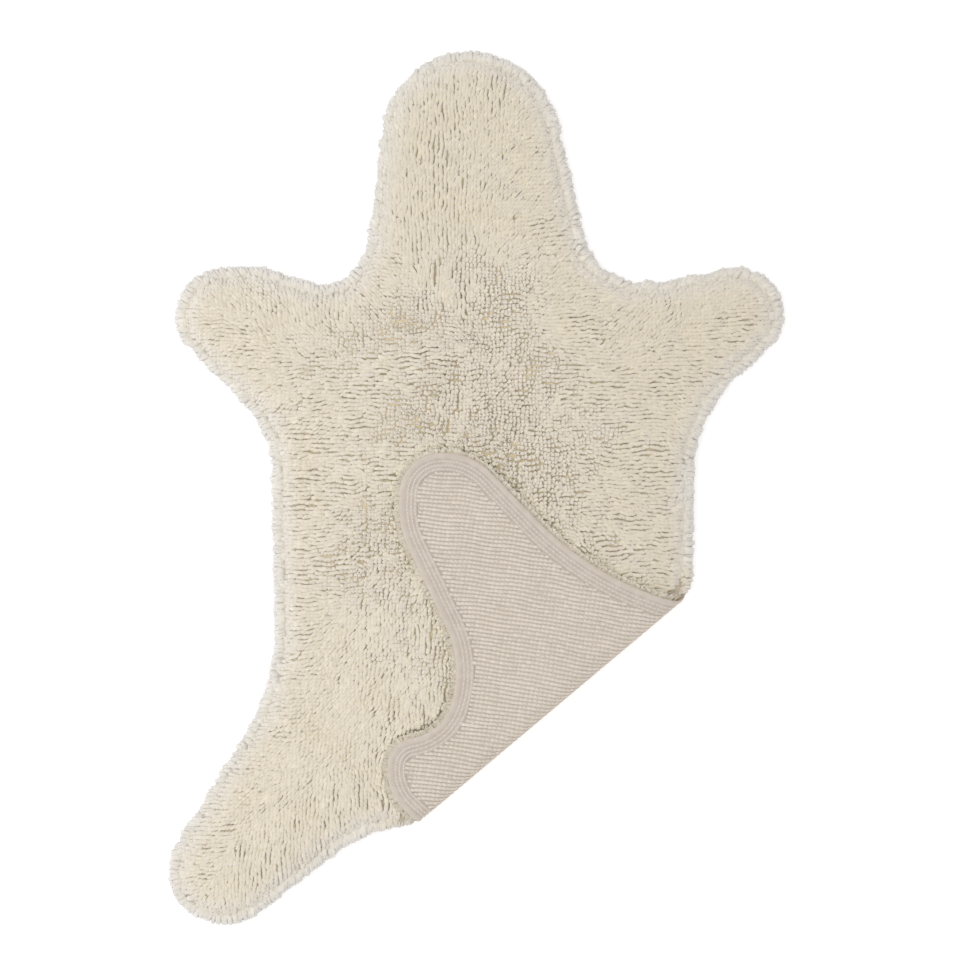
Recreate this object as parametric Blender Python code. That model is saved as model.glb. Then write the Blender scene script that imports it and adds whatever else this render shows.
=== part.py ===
"""A kids rug in the shape of an animal pelt, lying flat with one hind leg turned back.

The rug is one pile cloth, a woven ground with long wool yarns worked into it, cut to the
outline of a pelt. A tape is sewn round its cut edge. The right hind leg and most of the tail
are folded over the pile along a slanting crease, so that the woven side shows there.

Every shape is worked out on the flat cutting pattern first: a point has a place on the
pattern and a height above the woven side. The function folded() then lays the points down.
The body of the rug stays flat, a strip runs round the bend, and what lies past the bend
comes to rest on the pile with its woven side up.

Sizes are in millimetres until a mesh is made, and in metres there.
"""

import math
from typing import NamedTuple

import bmesh
import bpy
import numpy as np
from mathutils import Vector, noise
from mathutils.geometry import delaunay_2d_cdt

MM = 0.001
COLLECTION = "pelt_rug"


class Corner(NamedTuple):
    """A corner of the pelt's cutting pattern and the round that softens it."""

    place: str
    across: float  # from the rug's middle line, to the right
    along: float  # from the hind end towards the head
    radius: float


# The outer edge of the binding, clockwise as seen on the pile side
PATTERN = (
    Corner("crown, left", -107, 1113, 106),
    Corner("crown, right", 77, 1076, 112),
    Corner("nape, right", 137, 809, 79),
    Corner("shoulder, right", 219, 802, 136),
    Corner("foreleg top, right", 344, 828, 56),
    Corner("foreleg tip, right", 394, 760, 53),
    Corner("armpit, right", 264, 642, 172),
    Corner("hip, right", 259, 298, 391),
    Corner("hind leg outside, right", 406, 96, 83),
    Corner("hind leg tip, right", 382, 14, 52),
    Corner("hind leg inside, right", 296, 24, 125),
    Corner("crotch, right", 144, 133, 133),
    Corner("tail root, right", 53, 127, 61),
    Corner("tail tip, right", 26, 62, 36),
    Corner("tail tip, left", -35, 66, 69),
    Corner("tail root, left", -75, 126, 24),
    Corner("crotch, left", -140, 128, 143),
    Corner("hind leg inside, left", -312, -6, 68),
    Corner("hind leg tip, left", -392, 29, 53),
    Corner("hind leg outside, left", -382, 91, 88),
    Corner("hip, left", -251, 302, 245),
    Corner("armpit, left", -257, 620, 109),
    Corner("foreleg tip, left", -382, 748, 45),
    Corner("foreleg top, left", -369, 813, 59),
    Corner("shoulder, left", -293, 825, 116),
    Corner("neck, left", -165, 784, 59),
    Corner("nape, left", -137, 853, 102),
)
TRACE_STEP = 2.0  # between the points of the outline that everything is measured on
SAME_PLACE = 0.01  # points closer than this are one point

# The pile cloth
GROUND_THICKNESS = 3.0
PILE_DEPTH = 18.0
CLOTH_THICKNESS = GROUND_THICKNESS + PILE_DEPTH
LUMP_HEIGHT = 3.8  # of the hollows and swells in the open pile, from lowest to highest
LUMP_WIDTH = 42.0
PRESSED_LUMP_SHARE = 0.25
NET_SPACING = 21.0
NET_MARGIN = 10.0  # that the net's free points keep from its rim and from the bend
NET_MERGE = 1e-5  # between points that the net takes as one
DOWNWARD = -0.5  # normals that lean down more than this belong to the woven side

# The crease starts on the right edge and runs down to the left
CREASE_AT = np.array((253.0, 427.0))
CREASE_SLOPE = math.radians(40.0)
BEND_RADIUS = 17.5  # to the woven face, on the outside of the bend
NEUTRAL_RADIUS = BEND_RADIUS - GROUND_THICKNESS / 2
BEND_LENGTH = math.pi * NEUTRAL_RADIUS
BEND_ROWS = 10
BEND_PINCH = 2.4  # that the pile is squeezed at the middle of the bend

# The folded leg settles into the pile under it
LAYER_GAP = 1.2  # between the two faces of pile
SETTLE_DEPTH = 5.0
SETTLE_REACH = 170.0
PRESS_MARGIN = 9.0  # that the dent in the pile reaches past the folded leg
PRESS_SLOPE = 28.0

# The rim, along sections that stand about square to the outline
STATION_PITCH = 16.0
TURN_REACH = 36.0  # over which the sections turn into the line of the crease at the bend
TANGENT_REACH = 3.0

# The binding's section: depth in from the outline, and height above the floor or woven face
TAPE_WIDTH = 25.0
TAPE_THICKNESS = 1.2
ROLL_WIDTH = 6.5
ROLL_HEIGHT = 3.2
ROLL_FOOT_DEPTH = 1.5
ROLL_WAIST_HEIGHT = 1.8
ROLL_TOP_DEPTH = 2.2
TAPE_SECTION = (
    (TAPE_WIDTH, 0.0),
    (ROLL_FOOT_DEPTH, 0.0),
    (0.0, ROLL_WAIST_HEIGHT),
    (ROLL_TOP_DEPTH, ROLL_HEIGHT),
    (ROLL_WIDTH, TAPE_THICKNESS),
    (TAPE_WIDTH, TAPE_THICKNESS),
)
CLEARANCE = 0.3

# The pile cloth's wall, from the woven side to the top of the pile
EDGE_DEPTH = ROLL_WIDTH + CLEARANCE
EDGE_HEIGHT = TAPE_THICKNESS + CLEARANCE
TAPE_RING_DEPTH = TAPE_WIDTH + 2 * CLEARANCE
OVER_ROLL = (1.0, ROLL_HEIGHT + 3 * CLEARANCE)  # depth, height
BULGE_DEPTH = -3.2
BULGE_SHARE = 0.45  # of the way up from the roll to the top of the rim
RIM_SHARE = 0.86  # of the cloth's thickness that is left at the rim
RIM_REACH = 14.0
WALL_ROWS = 3

# Locks of yarn at the rim
LOCK_REACH = (4.6, 6.4)  # past the outline, least and most
LOCK_TIP_SHARE = 0.3
LOCK_DROOP = (0.8, 2.6)  # of the tip, least and most
LOCK_LEAN = 3.0
LOCK_SEED = 11
LOCK_LEAST_WIDTH = 9.0  # narrower sections of the rim carry a lock in every third only
NARROW_LOCK_STEP = 3

SHARP_ANGLE = math.radians(50.0)


class Finish(NamedTuple):
    """The colour and roughness of one kind of yarn or tape."""

    name: str
    colour: tuple
    roughness: float


WOOL_PILE = Finish("cream wool pile", (0.78, 0.71, 0.58), 0.95)
WOVEN_BACK = Finish("woven wool back", (0.68, 0.58, 0.48), 0.9)
BINDING_TAPE = Finish("cotton binding tape", (0.66, 0.56, 0.48), 0.85)


class Sections(NamedTuple):
    """Where the rim is cut into sections: points on the outline and the way in from each."""

    points: np.ndarray
    inward: np.ndarray  # one millimetre deeper into the cloth, not always of unit length
    in_bend: np.ndarray


def clear_scene():
    """Remove whatever the opened file holds."""
    for thing in list(bpy.data.objects):
        bpy.data.objects.remove(thing, do_unlink=True)


def smooth_step(share):
    """Ease from 0 to 1 as share goes from 0 to 1."""
    share = np.clip(share, 0.0, 1.0)
    return share * share * (3.0 - 2.0 * share)


def unit(vectors):
    """The vectors at a length of one."""
    return vectors / np.linalg.norm(vectors, axis=-1, keepdims=True)


CREASE_ALONG = np.array((-math.cos(CREASE_SLOPE), -math.sin(CREASE_SLOPE)))
CREASE_SQUARE = np.array((math.sin(CREASE_SLOPE), -math.cos(CREASE_SLOPE)))


def past_crease(points):
    """How far pattern points lie past the crease, towards the folded leg."""
    return (points - CREASE_AT) @ CREASE_SQUARE


# The outline


def corner_round(before, corner, after):
    """The arc of one corner, tangent to the sides that meet there."""
    middle = np.array((corner.across, corner.along))
    back = unit(np.array((before.across, before.along)) - middle)
    ahead = unit(np.array((after.across, after.along)) - middle)
    half_turn = (math.pi - math.acos(float(back @ ahead))) / 2
    start = middle + back * corner.radius * math.tan(half_turn)
    centre = middle + unit(back + ahead) * corner.radius / math.cos(half_turn)
    first = math.atan2(*(start - centre)[::-1])
    side = ahead[0] * back[1] - ahead[1] * back[0]
    turn = math.copysign(2 * half_turn, side)
    steps = max(2, round(corner.radius * 2 * half_turn / TRACE_STEP))
    angles = first + turn * np.linspace(0.0, 1.0, steps + 1)
    return centre + corner.radius * np.stack((np.cos(angles), np.sin(angles)), axis=1)


def traced_outline():
    """The rounded pattern as a closed line of points about TRACE_STEP apart."""
    arcs = [
        corner_round(PATTERN[i - 1], corner, PATTERN[(i + 1) % len(PATTERN)])
        for i, corner in enumerate(PATTERN)
    ]
    line = np.concatenate(arcs)
    line = np.concatenate((line, line[:1]))
    travelled = lengths_along(line)
    count = round(travelled[-1] / TRACE_STEP)
    return points_at(line, travelled, np.arange(count) / count * travelled[-1])


def lengths_along(line):
    """The distance travelled at each point of a line."""
    steps = np.linalg.norm(np.diff(line, axis=0), axis=1)
    return np.concatenate(([0.0], np.cumsum(steps)))


def points_at(line, travelled, where):
    """Points of a line at given distances along it."""
    columns = [np.interp(where, travelled, line[:, axis]) for axis in (0, 1)]
    return np.stack(columns, axis=1)


def depth_inside(points, outline):
    """Distance of points from the outline, positive inside it."""
    start = outline
    side = np.roll(outline, -1, axis=0) - start
    away = points[:, None, :] - start[None, :, :]
    share = np.clip((away * side).sum(axis=2) / (side * side).sum(axis=1), 0.0, 1.0)
    nearest = np.linalg.norm(away - share[..., None] * side, axis=2).min(axis=1)
    above = points[:, None, 1] < start[None, :, 1]
    crosses = above != (points[:, None, 1] < (start + side)[None, :, 1])
    rise = np.where(side[:, 1] == 0.0, 1.0, side[:, 1])
    at = start[:, 0] + side[:, 0] * (points[:, None, 1] - start[:, 1]) / rise
    inside = (crosses & (points[:, None, 0] < at)).sum(axis=1) % 2 == 1
    return np.where(inside, nearest, -nearest)


def rim_sections(outline):
    """Cut the rim into sections: one on each row of the bend, and evenly between those."""
    line = np.concatenate((outline, outline[:1]))
    travelled = lengths_along(line)
    total = travelled[-1]
    past = past_crease(line)
    cuts = []
    for row in np.arange(BEND_ROWS + 1) * BEND_LENGTH / BEND_ROWS:
        crossed = np.nonzero((past[:-1] - row) * (past[1:] - row) < 0)[0]
        share = (row - past[crossed]) / (past[crossed + 1] - past[crossed])
        cuts.extend(travelled[crossed] + share * (travelled[crossed + 1] - travelled[crossed]))
    cuts = np.sort(cuts)
    where = []
    for cut, following in zip(cuts, np.append(cuts[1:], cuts[0] + total)):
        pieces = max(1, round((following - cut) / STATION_PITCH))
        where.extend(cut + (following - cut) * np.arange(pieces) / pieces)
    where = np.sort(np.array(where) % total)
    points = points_at(line, travelled, where)
    ahead = points_at(line, travelled, (where + TANGENT_REACH) % total)
    behind = points_at(line, travelled, (where - TANGENT_REACH) % total)
    tangent = unit(ahead - behind)
    normal = np.stack((tangent[:, 1], -tangent[:, 0]), axis=1)
    apart = np.abs(where[:, None] - cuts[None, :])
    apart = np.minimum(apart, total - apart).min(axis=1)
    turned = smooth_step(1.0 - apart / TURN_REACH)[:, None]
    crease = CREASE_ALONG * np.sign(normal @ CREASE_ALONG)[:, None]
    inward = unit(turned * crease + (1.0 - turned) * normal)
    inward /= (inward * normal).sum(axis=1)[:, None]
    return Sections(points, inward, apart < SAME_PLACE)


# Laying the cloth down


def settled(reach):
    """How far the folded leg has sunk, at a distance from the bend."""
    return SETTLE_DEPTH * smooth_step(reach / SETTLE_REACH)


def folded(points, heights):
    """Lay pattern points down, each at its height above the woven side.

    The distance past the crease is turned into an angle round the bend, and what is left
    after half a turn runs back over the rug.
    """
    past = past_crease(points)
    along = (points - CREASE_AT) @ CREASE_ALONG
    turn = np.clip(past / NEUTRAL_RADIUS, 0.0, math.pi)
    beyond = np.maximum(past - BEND_LENGTH, 0.0)
    radius = BEND_RADIUS - heights
    square = np.minimum(past, 0.0) + radius * np.sin(turn) - beyond
    level = BEND_RADIUS - radius * np.cos(turn) - settled(beyond)
    place = CREASE_AT + along[:, None] * CREASE_ALONG + square[:, None] * CREASE_SQUARE
    return np.concatenate((place, level[:, None]), axis=1)


def covered(points, outline):
    """How far in from the folded leg's edge the leg lies over points of the flat body."""
    past = past_crease(points)
    above = points + (BEND_LENGTH - 2 * past)[:, None] * CREASE_SQUARE
    return depth_inside(above, outline)


def lumps(points):
    """Soft hollows and swells of the pile, between -0.5 and 0.5 at most places."""
    places = [Vector((x / LUMP_WIDTH, y / LUMP_WIDTH, 0.0)) for x, y in points.tolist()]
    return np.array([noise.noise(place) for place in places])


def pile_top(points, outline):
    """Height of the pile's face above the woven side: free, pressed flat or in the bend."""
    past = past_crease(points)
    round_bend = np.clip(past / BEND_LENGTH, 0.0, 1.0)
    reach = np.where(past < 0.0, -past, np.maximum(past - BEND_LENGTH, 0.0))
    room = (2 * BEND_RADIUS - settled(reach) - LAYER_GAP) / 2
    swell = LUMP_HEIGHT * lumps(points)
    pressed = room - BEND_PINCH * np.sin(math.pi * round_bend)
    pressed += PRESSED_LUMP_SHARE * np.minimum(swell, 0.0)
    free = CLOTH_THICKNESS + swell
    under = smooth_step(1.0 + (covered(points, outline) + PRESS_MARGIN) / PRESS_SLOPE)
    share = np.where(past < 0.0, under, 1.0)
    top = free + (pressed - free) * share
    depth = depth_inside(points, outline)
    thinner = (1.0 - RIM_SHARE) * np.exp((EDGE_DEPTH - depth) / RIM_REACH)
    return top * (1.0 - thinner)


# The pile cloth


def cloth_net(sections, outline):
    """Triangles over the flat cloth, in rows where it will bend.

    Returns their points, their corners, and how many points lie over the tape.
    """
    count = len(sections.points)
    edge = sections.points + EDGE_DEPTH * sections.inward
    ring = sections.points + TAPE_RING_DEPTH * sections.inward
    points = [*edge, *ring]
    loop = [(i, (i + 1) % count) for i in range(count)]
    lines = loop + [(a + count, b + count) for a, b in loop]
    rows = np.round(past_crease(sections.points) * BEND_ROWS / BEND_LENGTH)
    for row in range(BEND_ROWS + 1):
        right, left = np.nonzero(sections.in_bend & (rows == row))[0]
        span = ring[left] - ring[right]
        pieces = round(np.linalg.norm(span) / NET_SPACING)
        between = [ring[right] + span * i / pieces for i in range(1, pieces)]
        chain = [right + count, *range(len(points), len(points) + pieces - 1), left + count]
        points.extend(between)
        lines.extend([(right, right + count), (left, left + count)])
        lines.extend(zip(chain[:-1], chain[1:]))
    points.extend(free_net_points(outline))
    flat = [Vector(point) for point in points]
    inside_only = 1
    net, _, faces, *_ = delaunay_2d_cdt(flat, lines, [], inside_only, NET_MERGE)
    return np.array([tuple(point) for point in net]), faces, 2 * count


def free_net_points(outline):
    """Evenly staggered points, clear of the tape and of the bend."""
    reach = np.ptp(outline, axis=0).max()
    across = np.arange(-reach, reach, NET_SPACING)
    along = np.arange(-reach, reach, NET_SPACING * math.sqrt(0.75))
    stagger = NET_SPACING / 2 * (np.arange(len(along)) % 2)
    places = (across[None, :] + stagger[:, None]).ravel()
    steps = np.repeat(along, len(across))
    points = CREASE_AT + places[:, None] * CREASE_ALONG + steps[:, None] * CREASE_SQUARE
    inside = depth_inside(points, outline) > TAPE_RING_DEPTH + NET_MARGIN
    clear = (steps < -NET_MARGIN) | (steps > BEND_LENGTH + NET_MARGIN)
    return points[inside & clear]


def shape_cloth(mesh, sections, outline, over_tape):
    """Give the flat slab its woven face, its bulging wall and its lumpy top."""
    verts = list(mesh.verts)
    flat = np.array([vert.co.to_2d() for vert in verts])
    level = np.array([round(vert.co.z * WALL_ROWS) for vert in verts])
    top = pile_top(flat, outline)
    apart = np.linalg.norm(flat[:, None, :] - over_tape[None, :, :], axis=2).min(axis=1)
    lifted = np.where(apart < SAME_PLACE, EDGE_HEIGHT, 0.0)
    heights = np.where(level == 0, lifted, top)
    edge = sections.points + EDGE_DEPTH * sections.inward
    bulge_height = OVER_ROLL[1] + BULGE_SHARE * (top - OVER_ROLL[1])
    walls = ((1, OVER_ROLL[0], OVER_ROLL[1]), (2, BULGE_DEPTH, bulge_height))
    for row, depth, height in walls:
        at_row = level == row
        nearest = nearest_station(flat[at_row], edge)
        flat[at_row] = (sections.points + depth * sections.inward)[nearest]
        heights[at_row] = np.broadcast_to(height, heights.shape)[at_row]
    for vert, place, height in zip(verts, flat, heights):
        vert.co = (*place, height)


def nearest_station(points, edge):
    """The section that each point of the rim belongs to."""
    return np.linalg.norm(points[:, None, :] - edge[None, :, :], axis=2).argmin(axis=1)


def wall_faces(mesh, sections):
    """Faces of the wall above the roll as (section, row) pairs, in order round the rim."""
    edge = sections.points + EDGE_DEPTH * sections.inward
    found = {}
    for face in mesh.faces:
        levels = sorted(round(vert.co.z * WALL_ROWS) for vert in face.verts)
        if levels[0] == levels[-1] or levels[0] == 0:
            continue
        corners = np.array([vert.co.to_2d() for vert in face.verts])
        stations = sorted(set(nearest_station(corners, edge).tolist()))
        wraps = stations[-1] - stations[0] > 1
        found[stations[-1] if wraps else stations[0], levels[0]] = face
    return found


def grow_locks(mesh, walls, sections):
    """Draw a tapering lock of yarn out of one wall face in each section of the rim."""
    random = np.random.default_rng(LOCK_SEED)
    count = len(sections.points)
    width = np.linalg.norm(np.roll(sections.points, -1, axis=0) - sections.points, axis=1)
    chosen = []
    for section in range(count):
        if width[section] > LOCK_LEAST_WIDTH or section % NARROW_LOCK_STEP == 0:
            chosen.append((section, 1 + section % 2))
    roots = [walls[key] for key in chosen]
    centres = [root.calc_center_median() for root in roots]
    tips = bmesh.ops.extrude_discrete_faces(mesh, faces=roots)["faces"]
    for (section, _), centre, tip in zip(chosen, centres, tips):
        following = (section + 1) % count
        middle = (sections.points[section] + sections.points[following]) / 2
        outward = -unit(sections.inward[section] + sections.inward[following])
        sideways = np.array((outward[1], -outward[0]))
        lean = random.uniform(-LOCK_LEAN, LOCK_LEAN) * width[section] / STATION_PITCH
        place = middle + random.uniform(*LOCK_REACH) * outward + lean * sideways
        height = max(centre.z - random.uniform(*LOCK_DROOP), OVER_ROLL[1])
        end = Vector((*place, height))
        for vert in tip.verts:
            vert.co = end + (vert.co - centre) * LOCK_TIP_SHARE


def pile_cloth(sections, outline):
    """The woven ground with its pile: one lumpy slab, locks at its rim, folded."""
    points, faces, over_tape = cloth_net(sections, outline)
    mesh = bmesh.new()
    verts = [mesh.verts.new((*point, 0.0)) for point in points]
    for face in faces:
        mesh.faces.new([verts[i] for i in face])
    raised = bmesh.ops.extrude_face_region(mesh, geom=mesh.faces[:])["geom"]
    lifted = [part for part in raised if isinstance(part, bmesh.types.BMVert)]
    bmesh.ops.translate(mesh, verts=lifted, vec=(0.0, 0.0, 1.0))
    upright = [edge for edge in mesh.edges if edge.verts[0].co.z != edge.verts[1].co.z]
    bmesh.ops.subdivide_edges(mesh, edges=upright, cuts=WALL_ROWS - 1)
    bmesh.ops.recalc_face_normals(mesh, faces=mesh.faces[:])
    for face in mesh.faces:
        face.material_index = int(face.normal.z < DOWNWARD)
    walls = wall_faces(mesh, sections)
    shape_cloth(mesh, sections, outline, points[:over_tape])
    grow_locks(mesh, walls, sections)
    flat = np.array([vert.co.to_tuple() for vert in mesh.verts])
    for vert, place in zip(mesh.verts, folded(flat[:, :2], flat[:, 2])):
        vert.co = place * MM
    bmesh.ops.triangulate(mesh, faces=mesh.faces[:])
    return mesh


# The binding


def edge_binding(sections):
    """The tape round the cut edge, a strip under the cloth with a roll at the rim."""
    count = len(sections.points)
    mesh = bmesh.new()
    rings = []
    for depth, height in TAPE_SECTION:
        flat = sections.points + depth * sections.inward
        places = folded(flat, np.full(count, height)) * MM
        rings.append([mesh.verts.new(place) for place in places])
    for ring, neighbour in zip(rings, rings[1:] + rings[:1]):
        for i in range(count):
            j = (i + 1) % count
            mesh.faces.new((ring[i], ring[j], neighbour[j], neighbour[i]))
    bmesh.ops.recalc_face_normals(mesh, faces=mesh.faces[:])
    bmesh.ops.triangulate(mesh, faces=mesh.faces[:])
    return mesh


# Objects


def material_of(finish):
    """A material of one colour."""
    material = bpy.data.materials.new(finish.name)
    material.use_nodes = True
    shader = material.node_tree.nodes["Principled BSDF"]
    shader.inputs["Base Color"].default_value = (*finish.colour, 1.0)
    shader.inputs["Roughness"].default_value = finish.roughness
    shader.inputs["Metallic"].default_value = 0.0
    return material


def add_object(name, mesh, finishes, collection):
    """Turn a finished mesh into a named object of the rug."""
    data = bpy.data.meshes.new(name)
    mesh.to_mesh(data)
    mesh.free()
    for finish in finishes:
        data.materials.append(material_of(finish))
    data.shade_smooth()
    data.set_sharp_from_angle(angle=SHARP_ANGLE)
    thing = bpy.data.objects.new(name, data)
    collection.objects.link(thing)
    return thing


def stand_on_origin(things):
    """Put the middle of the whole rug's footprint over the origin, and its underside at zero."""
    corners = np.array([vert.co.to_tuple() for thing in things for vert in thing.data.vertices])
    low = corners.min(axis=0)
    middle = (low + corners.max(axis=0)) / 2
    for thing in things:
        for vert in thing.data.vertices:
            vert.co -= Vector((middle[0], middle[1], low[2]))


def build():
    """Make the rug's pieces."""
    clear_scene()
    collection = bpy.data.collections.new(COLLECTION)
    bpy.context.scene.collection.children.link(collection)
    outline = traced_outline()
    sections = rim_sections(outline)
    cloth_mesh = pile_cloth(sections, outline)
    cloth = add_object("pile_cloth", cloth_mesh, (WOOL_PILE, WOVEN_BACK), collection)
    binding = add_object("edge_binding", edge_binding(sections), (BINDING_TAPE,), collection)
    stand_on_origin((cloth, binding))


build()
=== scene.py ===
"""The looks of a kids rug in the shape of an animal pelt: wool yarns, woven back and sewn tape.

Every piece is worked out on the flat cutting pattern, in millimetres. A point there has a place
(across, along) and a height above the woven side. Pelt.laid() folds the right hind leg back over
the rug as it lies on the floor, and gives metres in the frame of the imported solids.
"""

import logging
import math
from collections.abc import Iterable, Mapping, Sequence
from dataclasses import dataclass
from enum import Enum
from typing import NamedTuple

import bpy
import numpy as np
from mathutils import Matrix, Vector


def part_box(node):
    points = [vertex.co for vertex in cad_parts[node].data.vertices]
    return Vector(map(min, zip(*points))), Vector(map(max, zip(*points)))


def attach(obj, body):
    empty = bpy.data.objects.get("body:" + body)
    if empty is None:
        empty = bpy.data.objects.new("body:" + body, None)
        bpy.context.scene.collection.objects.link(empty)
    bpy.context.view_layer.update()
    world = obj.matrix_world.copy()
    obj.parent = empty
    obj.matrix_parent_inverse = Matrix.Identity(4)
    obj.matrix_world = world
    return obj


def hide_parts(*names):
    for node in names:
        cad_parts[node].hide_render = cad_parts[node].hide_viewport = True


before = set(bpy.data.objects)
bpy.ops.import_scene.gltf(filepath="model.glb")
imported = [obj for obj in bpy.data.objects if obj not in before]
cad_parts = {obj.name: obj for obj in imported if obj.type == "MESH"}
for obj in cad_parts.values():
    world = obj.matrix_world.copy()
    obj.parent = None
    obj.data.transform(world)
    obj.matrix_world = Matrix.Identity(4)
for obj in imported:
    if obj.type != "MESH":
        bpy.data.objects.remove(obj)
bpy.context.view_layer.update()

LOG = logging.getLogger("pelt_rug")
BODY = "root"
MM = 0.001
TURN = 2.0 * math.pi
BATCH = 3000  # places worked on at once, to spare memory
TINT_SPREAD = 0.6  # of the tints from yarn to yarn, before a finish scales them

Colour = tuple[float, float, float]


# THE CUTTING PATTERN


class Corner(NamedTuple):
    """A corner of the pelt's cutting pattern and the round that softens it, in millimetres."""

    place: str
    across: float  # from the rug's middle line, to the right
    along: float  # from the hind end towards the head
    radius: float


# The outer edge of the binding, clockwise as seen on the pile side
PATTERN = (
    Corner("crown, left", -107, 1113, 106),
    Corner("crown, right", 77, 1076, 112),
    Corner("nape, right", 137, 809, 79),
    Corner("shoulder, right", 219, 802, 136),
    Corner("foreleg top, right", 344, 828, 56),
    Corner("foreleg tip, right", 394, 760, 53),
    Corner("armpit, right", 264, 642, 172),
    Corner("hip, right", 259, 298, 391),
    Corner("hind leg outside, right", 406, 96, 83),
    Corner("hind leg tip, right", 382, 14, 52),
    Corner("hind leg inside, right", 296, 24, 125),
    Corner("crotch, right", 144, 133, 133),
    Corner("tail root, right", 53, 127, 61),
    Corner("tail tip, right", 26, 62, 36),
    Corner("tail tip, left", -35, 66, 69),
    Corner("tail root, left", -75, 126, 24),
    Corner("crotch, left", -140, 128, 143),
    Corner("hind leg inside, left", -312, -6, 68),
    Corner("hind leg tip, left", -392, 29, 53),
    Corner("hind leg outside, left", -382, 91, 88),
    Corner("hip, left", -251, 302, 245),
    Corner("armpit, left", -257, 620, 109),
    Corner("foreleg tip, left", -382, 748, 45),
    Corner("foreleg top, left", -369, 813, 59),
    Corner("shoulder, left", -293, 825, 116),
    Corner("neck, left", -165, 784, 59),
    Corner("nape, left", -137, 853, 102),
)


class Stroke(NamedTuple):
    """A patch of pile that has been brushed one way."""

    place: str
    across: float
    along: float
    reach: float
    towards: float  # degrees: 0 is to the right and 90 towards the head
    strength: float


STROKES = (
    Stroke("crown", -12, 1010, 95, 82, 0.70),
    Stroke("crown, left", -70, 1035, 50, 52, 0.60),
    Stroke("cheek, left", -105, 930, 75, 66, 1.25),
    Stroke("middle of the head", -25, 900, 85, 84, 0.60),
    Stroke("cheek, right", 78, 925, 60, 52, 0.60),
    Stroke("nape, right", 48, 868, 50, 50, 0.35),
    Stroke("neck", -38, 787, 70, 86, 0.24),
    Stroke("foreleg, left", -300, 745, 90, 160, 0.95),
    Stroke("foreleg, right", 275, 755, 95, 20, 1.30),
    Stroke("withers, left", -100, 725, 60, 206, 0.22),
    Stroke("withers, right", 120, 765, 62, 346, 0.62),
    Stroke("shoulder, left", -140, 660, 85, 192, 0.42),
    Stroke("shoulder, right", 145, 680, 80, 8, 0.46),
    Stroke("back", -40, 640, 60, 84, 0.22),
    Stroke("saddle", 25, 705, 62, 18, 0.26),
    Stroke("flank, left", -190, 560, 90, 182, 0.42),
    Stroke("flank, right", 175, 575, 85, 354, 0.50),
    Stroke("loin, right", 185, 475, 75, 348, 0.42),
    Stroke("beside the leg", -78, 425, 62, 280, 0.42),
    Stroke("belly, left", -160, 350, 62, 232, 0.60),
    Stroke("loin, left", -105, 290, 90, 262, 0.75),
    Stroke("thigh, left", -205, 240, 75, 230, 0.85),
    Stroke("hind leg, left", -275, 135, 100, 238, 1.30),
)


def eased(share: np.ndarray) -> np.ndarray:
    """Ease from 0 to 1 as share goes from 0 to 1: three times its square less twice its cube."""
    share = np.clip(share, 0.0, 1.0)
    return share * share * (3.0 - 2.0 * share)


def unit(vectors: np.ndarray) -> np.ndarray:
    """The vectors at a length of one, along the last axis."""
    lengths = np.linalg.norm(vectors, axis=-1, keepdims=True)
    return vectors / np.maximum(lengths, 1e-9)


def left_of(ways: np.ndarray) -> np.ndarray:
    """The ways turned a quarter to the left, one a row."""
    return np.stack((-ways[:, 1], ways[:, 0]), axis=1)


def grid_cells(rows: int, columns: int) -> np.ndarray:
    """The cells of a grid whose points are numbered row by row.

    Args:
        rows: Rows of points.
        columns: Points in a row.

    Returns:
        Four corners a cell, anticlockwise from the lowest, by row and column.
    """
    number = np.arange(rows * columns).reshape(rows, columns)
    corners = (number[:-1, :-1], number[:-1, 1:], number[1:, 1:], number[1:, :-1])
    return np.stack(corners, axis=-1)


def rounded(before: Corner, corner: Corner, after: Corner, step: float) -> np.ndarray:
    """The arc that rounds one corner, tangent to the sides that meet there.

    The arc's centre lies on the line that halves the corner, at the radius divided by the cosine
    of half the turn.

    Args:
        before: The corner that comes before.
        corner: The corner to round.
        after: The corner that follows.
        step: Length between the arc's points.

    Returns:
        The arc's points, one a row.
    """
    middle = np.array((corner.across, corner.along), float)
    back = unit(np.array((before.across, before.along)) - middle)
    ahead = unit(np.array((after.across, after.along)) - middle)
    half_turn = (math.pi - math.acos(float(back @ ahead))) / 2
    start = middle + back * corner.radius * math.tan(half_turn)
    centre = middle + unit(back + ahead) * corner.radius / math.cos(half_turn)
    first = math.atan2(start[1] - centre[1], start[0] - centre[0])
    turn = math.copysign(2 * half_turn, ahead[0] * back[1] - ahead[1] * back[0])
    steps = max(2, round(corner.radius * 2 * half_turn / step))
    angles = first + turn * np.linspace(0.0, 1.0, steps + 1)
    return centre + corner.radius * np.stack((np.cos(angles), np.sin(angles)), axis=1)


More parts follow.
